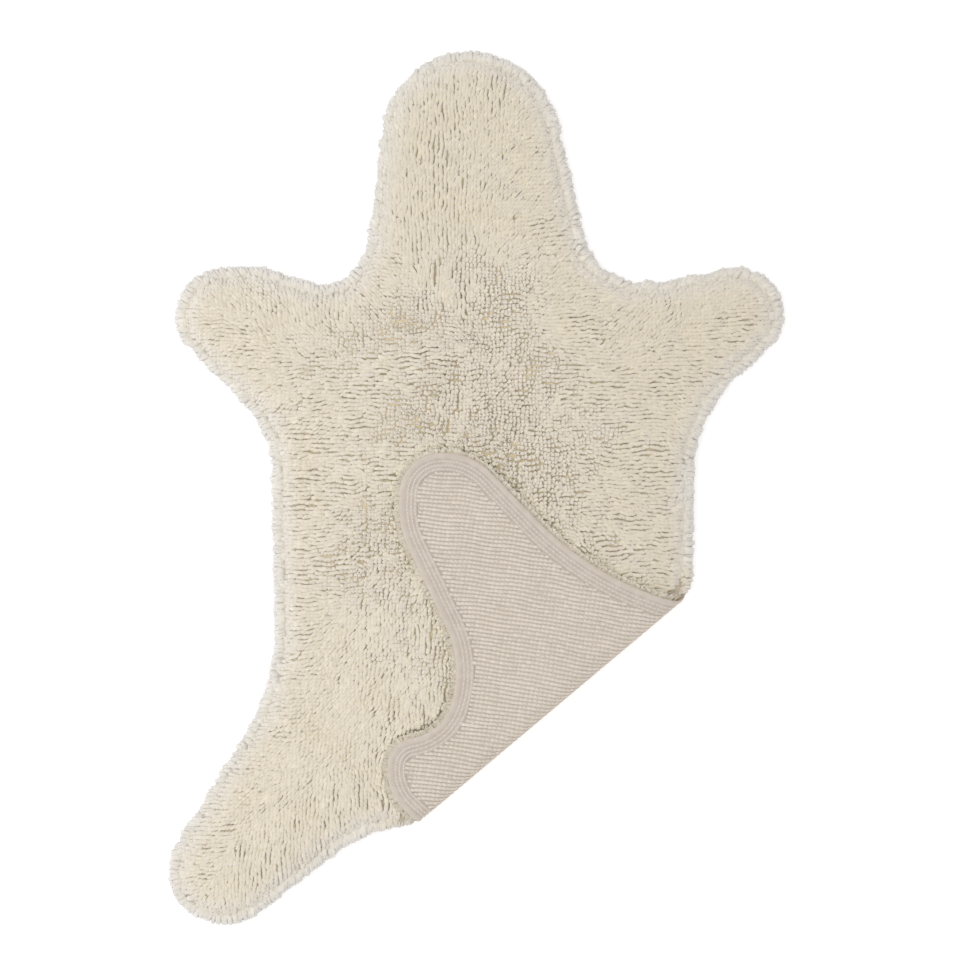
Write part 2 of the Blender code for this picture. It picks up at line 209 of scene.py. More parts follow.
@dataclass(frozen=True)
class CutEdge:
    """The closed line of the cut cloth, walked clockwise by its length."""

    line: np.ndarray  # the first point comes again at the end
    travelled: np.ndarray

    @classmethod
    def traced(cls, step: float = 2.0) -> "CutEdge":
        """Round the pattern's corners, and measure the way along the line of arcs.

        Args:
            step: Length between the points of an arc.

        Returns:
            The edge.
        """
        around = zip((PATTERN[-1], *PATTERN[:-1]), PATTERN, (*PATTERN[1:], PATTERN[0]))
        line = np.concatenate([rounded(*three, step) for three in around])
        line = np.concatenate((line, line[:1]))
        lengths = np.linalg.norm(np.diff(line, axis=0), axis=1)
        return cls(line, np.concatenate(([0.0], np.cumsum(lengths))))

    @property
    def length(self) -> float:
        """The whole way round."""
        return float(self.travelled[-1])

    def at(self, where: np.ndarray) -> np.ndarray:
        """Points at given distances along the edge."""
        where = where % self.length
        return np.stack([np.interp(where, self.travelled, line) for line in self.line.T], axis=1)

    def inward(self, where: np.ndarray, reach: float = 3.0) -> np.ndarray:
        """The way into the cloth, square to the line between points a reach behind and ahead."""
        tangent = unit(self.at(where + reach) - self.at(where - reach))
        return np.stack((tangent[:, 1], -tangent[:, 0]), axis=1)

    def even(self, pitch: float, start: float = 0.0) -> np.ndarray:
        """Distances along the edge, about a pitch apart and closing evenly."""
        count = round(self.length / pitch)
        return (np.arange(count) + start) * self.length / count


@dataclass(frozen=True)
class SoftNoise:
    """Smooth irregular values over the pattern, with a spread of about one.

    The value is the sum of the sines of (wave . place + phase) over waves of many directions and
    nearly one length, divided by the square root of half their number.
    """

    wavelength: float
    seed: int
    waves: int = 28

    def _waves(self) -> tuple[np.ndarray, np.ndarray]:
        """Draw the waves.

        Returns:
            The waves' vectors, in radians a millimetre, and their phases.
        """
        random = np.random.default_rng(self.seed)
        angles = random.uniform(0.0, TURN, self.waves)
        sizes = TURN / (self.wavelength * random.uniform(0.75, 1.35, self.waves))
        vectors = np.stack((np.cos(angles), np.sin(angles)), axis=1) * sizes[:, None]
        return vectors, random.uniform(0.0, TURN, self.waves)

    def value(self, places: np.ndarray) -> np.ndarray:
        """The noise at each place."""
        vectors, phases = self._waves()
        return np.sin(places @ vectors.T + phases).sum(axis=1) / math.sqrt(self.waves / 2)

    def slope(self, places: np.ndarray) -> np.ndarray:
        """The way uphill at each place, scaled by the wavelength over a full turn.

        Args:
            places: Places on the pattern, one a row.

        Returns:
            A vector a place.
        """
        vectors, phases = self._waves()
        rates = np.cos(places @ vectors.T + phases) @ vectors
        return rates * self.wavelength / TURN / math.sqrt(self.waves / 2)


def wandering(places: np.ndarray, wavelength: float, seed: int) -> np.ndarray:
    """A vector a place, of two soft noises whose seeds follow each other."""
    return np.stack([SoftNoise(wavelength, seed + i).value(places) for i in (0, 1)], axis=1)


@dataclass(frozen=True)
class Chart:
    """Values on a square grid over the pattern, read between its points."""

    corner: np.ndarray
    step: float
    values: np.ndarray  # by row along, column across and channel

    @staticmethod
    def places(edge: CutEdge, step: float, margin: float) -> tuple[np.ndarray, np.ndarray]:
        """A grid that covers the pattern.

        Args:
            edge: The cut edge to cover.
            step: Distance between the grid's points.
            margin: How far the grid reaches past the edge.

        Returns:
            The grid's lowest corner, and its places by row and column.
        """
        low = edge.line.min(axis=0) - margin
        counts = np.ceil((edge.line.max(axis=0) + margin - low) / step).astype(int) + 1
        across, along = (low[i] + step * np.arange(counts[i]) for i in (0, 1))
        return low, np.stack(np.meshgrid(across, along), axis=-1)

    def read(self, places: np.ndarray) -> np.ndarray:
        """Values at places, each from the four grid points round it by their nearness.

        Args:
            places: Places on the pattern, one a row.

        Returns:
            The channels' values, one row a place.
        """
        rows, columns = self.values.shape[:2]
        where = (places - self.corner) / self.step
        column = np.clip(where[:, 0], 0.0, columns - 1.001)
        row = np.clip(where[:, 1], 0.0, rows - 1.001)
        i, j = row.astype(int), column.astype(int)
        down, right = (row - i)[:, None], (column - j)[:, None]
        near = self.values[i, j] * (1 - right) + self.values[i, j + 1] * right
        far = self.values[i + 1, j] * (1 - right) + self.values[i + 1, j + 1] * right
        return near * (1 - down) + far * down


def depth_inside(places: np.ndarray, edge: np.ndarray) -> np.ndarray:
    """Distance of places from a closed line of points, positive inside it.

    The distance is to the nearest of the line's sides, and a place is inside where a level ray
    from it crosses an odd number of them.

    Args:
        places: Places on the pattern, one a row.
        edge: The line's points, in order, the first not repeated.

    Returns:
        One distance a place.
    """
    found = []
    side = np.roll(edge, -1, axis=0) - edge
    rise = np.where(side[:, 1] == 0.0, 1.0, side[:, 1])
    for some in np.array_split(places, max(1, len(places) // BATCH)):
        away = some[:, None, :] - edge[None, :, :]
        share = np.clip((away * side).sum(axis=2) / (side * side).sum(axis=1), 0.0, 1.0)
        nearest = np.linalg.norm(away - share[..., None] * side, axis=2).min(axis=1)
        above = some[:, None, 1] < edge[None, :, 1]
        crosses = above != (some[:, None, 1] < (edge + side)[None, :, 1])
        at = edge[:, 0] + side[:, 0] * (some[:, None, 1] - edge[:, 1]) / rise
        inside = (crosses & (some[:, None, 0] < at)).sum(axis=1) % 2 == 1
        found.append(np.where(inside, nearest, -nearest))
    return np.concatenate(found)


@dataclass(frozen=True)
class Fold:
    """How the right hind leg is turned back, in millimetres."""

    start: tuple[float, float] = (253.0, 427.0)  # on the crease, at the right edge
    slope: float = math.radians(40.0)
    radius: float = 17.5  # to the woven face, on the outside of the bend
    ground: float = 3.0  # thickness of the woven cloth
    settle_depth: float = 5.0  # how far the leg sinks away from the bend
    settle_reach: float = 170.0  # over which it sinks
    layer_gap: float = 1.2  # between the two piles
    ripple: float = 0.7  # height of the loose leg's waves
    ripple_length: float = 120.0
    ripple_from: float = 12.0  # past the bend, where the waves begin
    ripple_start: float = 60.0  # over which they grow

    @property
    def along(self) -> np.ndarray:
        """The way along the crease, down to the left."""
        return np.array((-math.cos(self.slope), -math.sin(self.slope)))

    @property
    def square(self) -> np.ndarray:
        """The way across the crease, towards the folded leg."""
        return np.array((math.sin(self.slope), -math.cos(self.slope)))

    @property
    def neutral(self) -> float:
        """The radius at which the cloth is neither stretched nor squeezed."""
        return self.radius - self.ground / 2

    @property
    def length(self) -> float:
        """The length of cloth that goes round the bend."""
        return math.pi * self.neutral

    def past(self, places: np.ndarray) -> np.ndarray:
        """How far places lie past the crease, towards the folded leg."""
        return (places - np.array(self.start)) @ self.square

    def settled(self, reach: np.ndarray) -> np.ndarray:
        """How far the folded leg has sunk, at a distance from the bend."""
        return self.settle_depth * eased(reach / self.settle_reach)

    def room(self, reach: np.ndarray) -> np.ndarray:
        """Half of what the two piles share between the woven sides, at a distance from the bend."""
        return (2 * self.radius - self.settled(reach) - self.layer_gap) / 2

    def mirrored(self, places: np.ndarray) -> np.ndarray:
        """The places of the folded leg that come to lie over places of the flat body."""
        return places + (self.length - 2 * self.past(places))[:, None] * self.square

    def grid(self, line: np.ndarray, step: float, bend_steps: int = 12) -> np.ndarray:
        """A grid square to the crease that covers a line, with even steps round the bend.

        Args:
            line: Places to cover.
            step: Size of a cell on the flat.
            bend_steps: Number of cells round the bend.

        Returns:
            Places by row past the crease and column along it.
        """
        past, along = self.past(line), (line - np.array(self.start)) @ self.along
        before = -step * np.arange(math.ceil(-past.min() / step) + 1, 0, -1)
        bend = self.length * np.arange(bend_steps) / bend_steps
        after = self.length + step * np.arange(math.ceil((past.max() - self.length) / step) + 2)
        rows = np.concatenate((before, bend, after))
        columns = np.arange(along.min() - step, along.max() + 2 * step, step)
        return (
            np.array(self.start)
            + columns[None, :, None] * self.along
            + rows[:, None, None] * self.square
        )

    def laid(self, places: np.ndarray, heights: np.ndarray) -> np.ndarray:
        """Lay points of the pattern down.

        The distance past the crease over the neutral radius is the angle round the bend, up to
        half a turn, and what is left over runs back over the rug.

        Args:
            places: Places on the pattern, one a row.
            heights: Height of each point above the woven side.

        Returns:
            Points (across, along, level) in millimetres.
        """
        past = self.past(places)
        along = (places - np.array(self.start)) @ self.along
        turn = np.clip(past / self.neutral, 0.0, math.pi)
        beyond = np.maximum(past - self.length, 0.0)
        radius = self.radius - heights
        across = np.minimum(past, 0.0) + radius * np.sin(turn) - beyond
        level = self.radius - radius * np.cos(turn) - self.settled(beyond)
        waves = SoftNoise(self.ripple_length, seed=5).value(places)
        level += self.ripple * waves * eased((beyond - self.ripple_from) / self.ripple_start)
        flat = np.array(self.start) + along[:, None] * self.along + across[:, None] * self.square
        return np.concatenate((flat, level[:, None]), axis=1)


class Pelt:
    """The whole rug's shape: its cut edge, its pile's height and lie, and how it is laid down."""

    DEPTH_STEP = 4.0
    COMB_STEP = 8.0
    MARGIN = 70.0
    EDGE_SPACING = 5.0  # of the edge's points that depths are measured from
    COMBED_DEPTH = 54.0  # from the rim at which the outward lean has halved
    EDGE_SOFTNESS = 5.0

    PILE_TOP = 21.0
    LUMPS = (SoftNoise(95.0, seed=21), SoftNoise(48.0, seed=22))
    LUMP_HEIGHT = 0.8
    SMALL_LUMPS = 0.5  # height of the second, smaller lumps against the first
    BEND_PINCH = 2.4  # of the pile's height inside the bend
    PRESS_MARGIN = -2.0  # depth under the folded leg at which the pile is pressed
    PRESS_SLOPE = 9.0
    RIM_SHARE = 0.86  # of its height that the pile has at RIM_START inside the edge
    RIM_START = 6.8
    RIM_REACH = 14.0

    LEG_SHADE_REACH = 20.0  # beside the folded leg, over which the painted shade fades out
    LEG_SHADE_FOLDED = 0.4  # share of the painted shade that the folded leg's own pile has
    LEG_SHADE_BEND = 0.8  # share of the bend from which the pile counts as the folded leg's
    # Paler, greyer pile at the rim: painted rim light, where the wool is also worn smoother
    LIGHT_AND_WEAR_OUTSIDE = 6.0  # past the cut edge, where the painted rim light and the wear are whole
    LIGHT_AND_WEAR_REACH = 36.0
    LIGHT_AND_WEAR_FOLDED = 0.5  # share of the painted rim light and wear that the folded leg has, whose rim lies in shade
    LIGHT_AND_WEAR_FOLD_REACH = 20.0

    def __init__(self) -> None:
        """Trace the edge, and chart the depth inside it and the way the pile is combed."""
        self.edge = CutEdge.traced()
        self.fold = Fold()
        outline = self.edge.at(self.edge.even(self.EDGE_SPACING))
        low, places = Chart.places(self.edge, self.DEPTH_STEP, self.MARGIN)
        depths = depth_inside(places.reshape(-1, 2), outline)
        self._depths = Chart(low, self.DEPTH_STEP, depths.reshape(*places.shape[:2], 1))
        low, places = Chart.places(self.edge, self.COMB_STEP, self.MARGIN)
        combed = self._combed(places.reshape(-1, 2), outline)
        self._combing = Chart(low, self.COMB_STEP, combed.reshape(places.shape))
        self._shift = self._to_frame()

    def _combed(self, places: np.ndarray, outline: np.ndarray) -> np.ndarray:
        """The outward lie of the pile.

        Each bit of the edge pulls the yarns towards it with its length over the cube of its
        distance. The pull's strength s becomes s / (s + half), with half the pull of a straight
        edge at COMBED_DEPTH, and the brushed patches are added with a bell-shaped falloff.

        Args:
            places: Places on the pattern, one a row.
            outline: The edge's points.

        Returns:
            A vector a place, of length 0 (upright) to 1 (lying down).
        """
        spacing = self.edge.length / len(outline)
        pulls = []
        for some in np.array_split(places, max(1, len(places) // BATCH)):
            away = outline[None, :, :] - some[:, None, :]
            squares = (away * away).sum(axis=2) + self.EDGE_SOFTNESS**2
            pulls.append(spacing * (away / (squares * squares)[..., None]).sum(axis=1))
        pull = np.concatenate(pulls)
        strength = np.linalg.norm(pull, axis=1)[:, None]
        half = math.pi / 2 / self.COMBED_DEPTH**2
        inside = np.where(self.depth(places) > 0.0, 1.0, -1.0)[:, None]
        lie = inside * unit(pull) * strength / (strength + half)
        for stroke in STROKES:
            apart = np.linalg.norm(places - np.array((stroke.across, stroke.along)), axis=1)
            angle = math.radians(stroke.towards)
            brushed = stroke.strength * np.array((math.cos(angle), math.sin(angle)))
            lie += np.exp(-((apart / stroke.reach) ** 2))[:, None] * brushed
        return lie

    def _to_frame(self) -> np.ndarray:
        """What takes the pattern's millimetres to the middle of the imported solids' footprint.

        Returns:
            The shift across, along and up.
        """
        low, high = (np.array(corner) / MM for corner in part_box("edge_binding"))
        flat = self.edge.line[self.fold.past(self.edge.line) < 0.0]
        middle = (flat.min(axis=0) + flat.max(axis=0)) / 2
        return np.array((*((low + high)[:2] / 2 - middle), 0.0))

    def depth(self, places: np.ndarray) -> np.ndarray:
        """Distance inside the cut edge, negative outside."""
        return self._depths.read(places)[:, 0]

    def outward(self, places: np.ndarray) -> np.ndarray:
        """The way to the nearest edge, from how the depth falls over a few millimetres.

        Args:
            places: Places on the pattern, one a row.

        Returns:
            A vector of length one a place.
        """
        reach = self.DEPTH_STEP
        falls = [
            self.depth(places - reach * way) - self.depth(places + reach * way)
            for way in np.eye(2)
        ]
        return unit(np.stack(falls, axis=1))

    def lie(self, places: np.ndarray) -> np.ndarray:
        """The way the pile leans, by a length of 0 for upright to 1 for lying down."""
        return self._combing.read(places)

    def covered(self, places: np.ndarray) -> np.ndarray:
        """Depth under the folded leg of places on the flat body, negative beside the leg."""
        over = self.fold.mirrored(places)
        return np.where(self.fold.past(over) > self.fold.length, self.depth(over), -self.MARGIN)

    def light_and_wear(self, places: np.ndarray) -> np.ndarray:
        """How much painted rim light and wear the pile has: 1 past the cut edge to 0 well inside, and
        less once folded.

        Args:
            places: Places on the pattern, one a row.

        Returns:
            One share a place.
        """
        near = 1.0 - eased((self.depth(places) + self.LIGHT_AND_WEAR_OUTSIDE) / self.LIGHT_AND_WEAR_REACH)
        folded = eased(1.0 + self.fold.past(places) / self.LIGHT_AND_WEAR_FOLD_REACH)
        return near * (1.0 - (1.0 - self.LIGHT_AND_WEAR_FOLDED) * folded)

    def sheltered(self, places: np.ndarray) -> np.ndarray:
        """How near the pile is to the edge of the folded leg, from 0 away from it to 1 there. It
        masks the painted shade beside the leg, and lowers the slab there.

        Args:
            places: Places on the pattern, one a row.

        Returns:
            One share a place.
        """
        beside = eased(1.0 + self.covered(places) / self.LEG_SHADE_REACH)
        folded = self.fold.past(places) > self.LEG_SHADE_BEND * self.fold.length
        return np.where(folded, self.LEG_SHADE_FOLDED, beside)

    def pile_top(self, places: np.ndarray) -> np.ndarray:
        """Height of the pile's face: free and lumpy, pressed under the leg, or in the bend.

        The free height is a level plus two soft noises. Under the leg and in the bend it goes over
        to the room between the woven sides, less a pinch that is most in the middle of the bend.
        Towards the rim it loses a share that grows as the exponential of the nearness.

        Args:
            places: Places on the pattern, one a row.

        Returns:
            One height above the woven side a place.
        """
        past = self.fold.past(places)
        round_bend = np.clip(past / self.fold.length, 0.0, 1.0)
        reach = np.where(past < 0.0, -past, np.maximum(past - self.fold.length, 0.0))
        wide, small = (lumps.value(places) for lumps in self.LUMPS)
        swell = self.LUMP_HEIGHT * (wide + self.SMALL_LUMPS * small)
        pressed = self.fold.room(reach) - self.BEND_PINCH * np.sin(math.pi * round_bend)
        under = eased(1.0 + (self.covered(places) + self.PRESS_MARGIN) / self.PRESS_SLOPE)
        share = np.where(past < 0.0, under, 1.0)
        top = self.PILE_TOP + swell + (pressed - self.PILE_TOP - swell) * share
        depth = np.maximum(self.depth(places), 0.0)
        thinner = (1.0 - self.RIM_SHARE) * np.exp((self.RIM_START - depth) / self.RIM_REACH)
        return top * (1.0 - thinner)

    def laid(self, places: np.ndarray, heights: np.ndarray) -> np.ndarray:
        """Points of the pattern as they lie on the floor, in metres in the solids' frame."""
        return (self.fold.laid(places, heights) + self._shift) * MM


# MESHES


def mesh_object(
    name: str,
    points: np.ndarray,
    faces: Sequence[np.ndarray],
    values: Mapping[str, np.ndarray] | None = None,
    uv: np.ndarray | None = None,
) -> bpy.types.Object:
    """Put arrays of points and faces into a new object.

    Args:
        name: The object's name.
        points: One point a row, in metres.
        faces: Arrays of corner numbers, each with one number of corners.
        values: Named numbers, one a point.
        uv: One (u, v) a face corner, in the order of the faces.

    Returns:
        The object, with smooth shading.
    """
    corners = np.concatenate([face.ravel() for face in faces]).astype(np.int32)
    totals = np.concatenate([np.full(len(face), face.shape[1]) for face in faces])
    starts = np.concatenate(([0], np.cumsum(totals)[:-1])).astype(np.int32)
    mesh = bpy.data.meshes.new(name)
    mesh.vertices.add(len(points))
    mesh.vertices.foreach_set("co", points.astype(np.float32).ravel())
    mesh.loops.add(len(corners))
    mesh.loops.foreach_set("vertex_index", corners)
    mesh.polygons.add(len(totals))
    mesh.polygons.foreach_set("loop_start", starts)
    mesh.update(calc_edges=True)
    for key, numbers in (values or {}).items():
        attribute = mesh.attributes.new(key, "FLOAT", "POINT")
        attribute.data.foreach_set("value", numbers.astype(np.float32).ravel())
    if uv is not None:
        layer = mesh.uv_layers.new(name="cloth")
        layer.uv.foreach_set("vector", uv.astype(np.float32).ravel())
    mesh.shade_smooth()
    thing = bpy.data.objects.new(name, mesh)
    bpy.context.scene.collection.objects.link(thing)
    return thing


def fitted(
    thing: bpy.types.Object, material: bpy.types.Material, stands_for: Iterable[str] = ()
) -> bpy.types.Object:
    """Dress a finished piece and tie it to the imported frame.

    Args:
        thing: The piece.
        material: Its only material.
        stands_for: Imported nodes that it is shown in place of.

    Returns:
        The same piece.
    """
    thing.data.materials.append(material)
    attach(thing, BODY)
    if stands_for:
        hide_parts(*stands_for)
    return thing


def report(thing: bpy.types.Object) -> None:
    """Log a piece's size. A face of so many corners is that number less two in triangles.

    Args:
        thing: The piece.
    """
    mesh = thing.data
    triangles = len(mesh.loops) - 2 * len(mesh.polygons)
    LOG.info("%s: %d points, %d triangles", thing.name, len(mesh.vertices), triangles)


RIM_SLACK = 0.45  # share of a cell by which a kept corner may fall short of the margin


@dataclass(frozen=True)
class TrimmedGrid:
    """A grid over the pattern, finer in the bend, cut off at one depth inside the edge."""

    places: np.ndarray
    cells: np.ndarray  # four corners a cell, anticlockwise
    rim: np.ndarray  # pairs of corners with a cell on their left only

    @classmethod
    def over(cls, pelt: Pelt, step: float, margin: float) -> "TrimmedGrid":
        """Keep the cells inside a margin and draw their outer corners onto it.

        Args:
            pelt: The rug's shape.
            step: Size of a cell.
            margin: Depth inside the edge at which the grid ends.

        Returns:
            The trimmed grid.
        """
        grid = pelt.fold.grid(pelt.edge.line, step)
        rows, columns = grid.shape[:2]
        places = grid.reshape(-1, 2)
        inside = pelt.depth(places) > margin - RIM_SLACK * step
        cells = grid_cells(rows, columns)
        cells = cells[inside[cells].all(axis=-1)]
        used, cells = np.unique(cells, return_inverse=True)
        cells = cells.reshape(-1, 4)
        places = places[used]
        sides = np.concatenate([cells[:, [i, (i + 1) % 4]] for i in range(4)])
        codes = sides[:, 0] * len(used) + sides[:, 1]
        rim = sides[~np.isin(codes, sides[:, 1] * len(used) + sides[:, 0])]
        on_rim = np.unique(rim)
        for _ in range(2):
            short = margin - pelt.depth(places[on_rim])
            places[on_rim] -= short[:, None] * pelt.outward(places[on_rim])
        return cls(places, cells, rim)

    def slab(
        self,
        name: str,
        pelt: Pelt,
        low: np.ndarray,
        high: np.ndarray,
        values: Mapping[str, np.ndarray] | None = None,
    ) -> bpy.types.Object:
        """Close the grid into a slab between two heights, and lay it down.

        Args:
            name: The object's name.
            pelt: The rug's shape.
            low: Height of the lower face at each place.
            high: Height of the upper face at each place.
            values: Named numbers, one a place, that the mesh carries.

        Returns:
            The object, with the pattern's places in metres as its UV map.
        """
        count = len(self.places)
        both = np.concatenate((self.places, self.places))
        points = pelt.laid(both, np.concatenate((low, high)))
        wall = np.concatenate((self.rim, self.rim[:, ::-1] + count), axis=1)
        faces = np.concatenate((self.cells[:, ::-1], self.cells + count, wall))
        uv = both[faces.ravel()] * MM
        carried = {key: np.tile(numbers, 2) for key, numbers in (values or {}).items()}
        return mesh_object(name, points, [faces], carried, uv)


@dataclass(frozen=True)
class Strands:
    """Many closed tubes of one make: rings along each path, a flat root and a pointed tip."""

    centres: np.ndarray  # by strand, ring and axis
    first: np.ndarray  # across the strand, of the ring's first half width
    second: np.ndarray  # square to first and to the strand, of the other half width
    tips: np.ndarray  # by strand and axis

    def points(self, sides: int) -> np.ndarray:
        """Centre plus cosine times first plus sine times second, by strand, ring and side.

        Args:
            sides: Number of points round a ring.

        Returns:
            Points by strand, the rings' first and the tip last.
        """
        angles = np.arange(sides) * TURN / sides
        around = (
            self.centres[:, :, None, :]
            + np.cos(angles)[:, None] * self.first[:, :, None, :]
            + np.sin(angles)[:, None] * self.second[:, :, None, :]
        )
        count, rings = around.shape[:2]
        return np.concatenate((around.reshape(count, rings * sides, 3), self.tips[:, None]), axis=1)

    @staticmethod
    def faces(count: int, rings: int, sides: int) -> list[np.ndarray]:
        """The same faces for every strand: bands of quads, a cone at the tip, a root face.

        Args:
            count: Number of strands.
            rings: Rings in a strand.
            sides: Points round a ring.

        Returns:
            Arrays of quads, triangles and root faces.
        """
        starts = np.arange(count)[:, None, None] * (rings * sides + 1)
        side = np.arange(sides)
        after = (side + 1) % sides
        ring = np.arange(rings - 1)[:, None] * sides
        band = np.stack((ring + side, ring + after, ring + sides + after, ring + sides + side), -1)
        last = (rings - 1) * sides
        cone = np.stack((last + side, last + after, np.full(sides, rings * sides)), axis=-1)
        root = side[::-1]
        return [
            (starts + band.reshape(1, -1, 4)).reshape(-1, 4),
            (starts + cone[None]).reshape(-1, 3),
            (starts[:, 0] + root[None]).reshape(-1, sides),
        ]


# FINISHES, with their sizes in metres


class Wire:
    """A socket in a finish's node tree. Arithmetic on it adds Math nodes."""

    def __init__(self, recipe: "Recipe", socket: bpy.types.NodeSocket) -> None:
        """Hold a socket and the recipe that it is part of."""
        self.recipe = recipe
        self.socket = socket

    def math(self, operation: str, *others: "Wire | float") -> "Wire":
        """A Math node on this value and then the others."""
        inputs = dict(enumerate((self, *others)))
        return self.recipe.node("ShaderNodeMath", {"operation": operation}, inputs)

    def __add__(self, other: "Wire | float") -> "Wire":
        """Self plus other."""
        return self.math("ADD", other)

    def __mul__(self, other: "Wire | float") -> "Wire":
        """Self times other."""
        return self.math("MULTIPLY", other)

    def __sub__(self, other: "Wire | float") -> "Wire":
        """Self less other."""
        return self.math("SUBTRACT", other)

    def __rsub__(self, other: float) -> "Wire":
        """Other less self."""
        return self.math("MULTIPLY_ADD", -1.0, other)

    __radd__ = __add__
    __rmul__ = __mul__

    def sine(self) -> "Wire":
        """The sine of this value, in radians."""
        return self.math("SINE")

    def wave(self) -> "Wire":
        """The sine of this value, halved and lifted to between 0 and 1."""
        return self.sine() * 0.5 + 0.5

    def kept(self) -> "Wire":
        """This value, kept between 0 and 1."""
        return self.recipe.node("ShaderNodeClamp", {}, {"Value": self})

    def share(self, line: tuple[float, float]) -> "Wire":
        """This value times the line's first number, less its second, kept between 0 and 1."""
        slope, drop = line
        return (self * slope - drop).kept()


class Recipe:
    """The node tree of one finish, round its Principled shader."""

    SPECULAR = 0.15
    SHEEN_ROUGHNESS = 0.55

    def __init__(self, name: str, roughness: float, sheen: float = 0.0) -> None:
        """Start a finish.

        Args:
            name: The material's name.
            roughness: Of the whole surface.
            sheen: Weight of the soft light that fibres catch at a grazing angle.
        """
        self.material = bpy.data.materials.new(name)
        self.material.use_nodes = True
        self.tree = self.material.node_tree
        self.shader = self.tree.nodes["Principled BSDF"]
        self.shader.inputs["Roughness"].default_value = roughness
        self.shader.inputs["Metallic"].default_value = 0.0
        self.shader.inputs["Specular IOR Level"].default_value = self.SPECULAR
        self.shader.inputs["Sheen Weight"].default_value = sheen
        self.shader.inputs["Sheen Roughness"].default_value = self.SHEEN_ROUGHNESS

    def node(
        self,
        kind: str,
        settings: Mapping[str, object] | None = None,
        inputs: Mapping[str | int, object] | None = None,
        output: str | int = 0,
    ) -> Wire:
        """Add any node.

        Args:
            kind: The node's type.
            settings: Its properties.
            inputs: Its sockets by name or number, each a Wire or a plain value.
            output: The socket to give back.

        Returns:
            The node's output.
        """
        made = self.tree.nodes.new(kind)
        for key, value in (settings or {}).items():
            setattr(made, key, value)
        for key, value in (inputs or {}).items():
            if isinstance(value, Wire):
                self.tree.links.new(value.socket, made.inputs[key])
            else:
                made.inputs[key].default_value = value
        return Wire(self, made.outputs[output])

    def object_places(self) -> Wire:
        """The place on the object, in metres."""
        return self.node("ShaderNodeTexCoord", output="Object")

    def cloth_places(self) -> Wire:
        """The piece's own UV map."""
        return self.node("ShaderNodeUVMap", {"uv_map": "cloth"})

    def value_of(self, name: str) -> Wire:
        """A named number that the mesh carries."""
        return self.node("ShaderNodeAttribute", {"attribute_name": name}, output="Fac")

    def parts(self, places: Wire) -> tuple[Wire, Wire, Wire]:
        """The three numbers of a vector."""
        split = self.node("ShaderNodeSeparateXYZ", {}, {"Vector": places}).socket.node
        return tuple(Wire(self, output) for output in split.outputs)

    def vector(self, *parts: Wire) -> Wire:
        """A vector of three numbers."""
        return self.node("ShaderNodeCombineXYZ", {}, dict(enumerate(parts)))

    def noise(self, places: Wire, size: float, detail: float = 2.0) -> Wire:
        """Cloudy values between 0 and 1, with clouds of a size in metres."""
        inputs = {"Vector": places, "Scale": 1.0 / size, "Detail": detail}
        return self.node("ShaderNodeTexNoise", {}, inputs)

    def mixed(self, share: "Wire | float", first: "Wire | Colour", second: "Wire | Colour") -> Wire:
        """Mix two colours.

        Args:
            share: Of the second colour, from 0 to 1.
            first: The colour at a share of 0.
            second: The colour at a share of 1.

        Returns:
            The first colour times one less the share, plus the second times the share.
        """
        colours = [
            colour if isinstance(colour, Wire) else (*colour, 1.0) for colour in (first, second)
        ]
        inputs = {0: share, 6: colours[0], 7: colours[1]}
        return self.node("ShaderNodeMix", {"data_type": "RGBA"}, inputs, output=2)

    def shaded(self, colour: Wire, brightness: Wire) -> Wire:
        """Brighten or darken a colour.

        Args:
            colour: The colour.
            brightness: What each of its three numbers is multiplied by.

        Returns:
            The product, through Vector Math.
        """
        together = self.node("ShaderNodeCombineXYZ", {}, dict.fromkeys(range(3), brightness))
        inputs = {0: colour, 1: together}
        return self.node("ShaderNodeVectorMath", {"operation": "MULTIPLY"}, inputs)

    def bump(self, height: Wire, distance: float, under: Wire | None = None) -> Wire:
        """A normal from a height of 0 to 1.

        Args:
            height: The relief.
            distance: What a height of 1 stands for, in metres.
            under: A normal from coarser relief, if there is one.

        Returns:
            The normal.
        """
        inputs = {"Height": height, "Distance": distance, "Strength": 1.0}
        if under is not None:
            inputs["Normal"] = under
        return self.node("ShaderNodeBump", {}, inputs)

    def finished(
        self, colour: Wire, normal: Wire | None = None, alpha: Wire | None = None
    ) -> bpy.types.Material:
        """Feed the shader.

        Args:
            colour: For its base colour.
            normal: From the relief, if there is any.
            alpha: How solid the surface is, if it is seen through anywhere.

        Returns:
            The material.
        """
        feeds = {"Base Color": colour, "Normal": normal, "Alpha": alpha}
        for name, wire in feeds.items():
            if wire is not None:
                self.tree.links.new(wire.socket, self.shader.inputs[name])
        return self.material


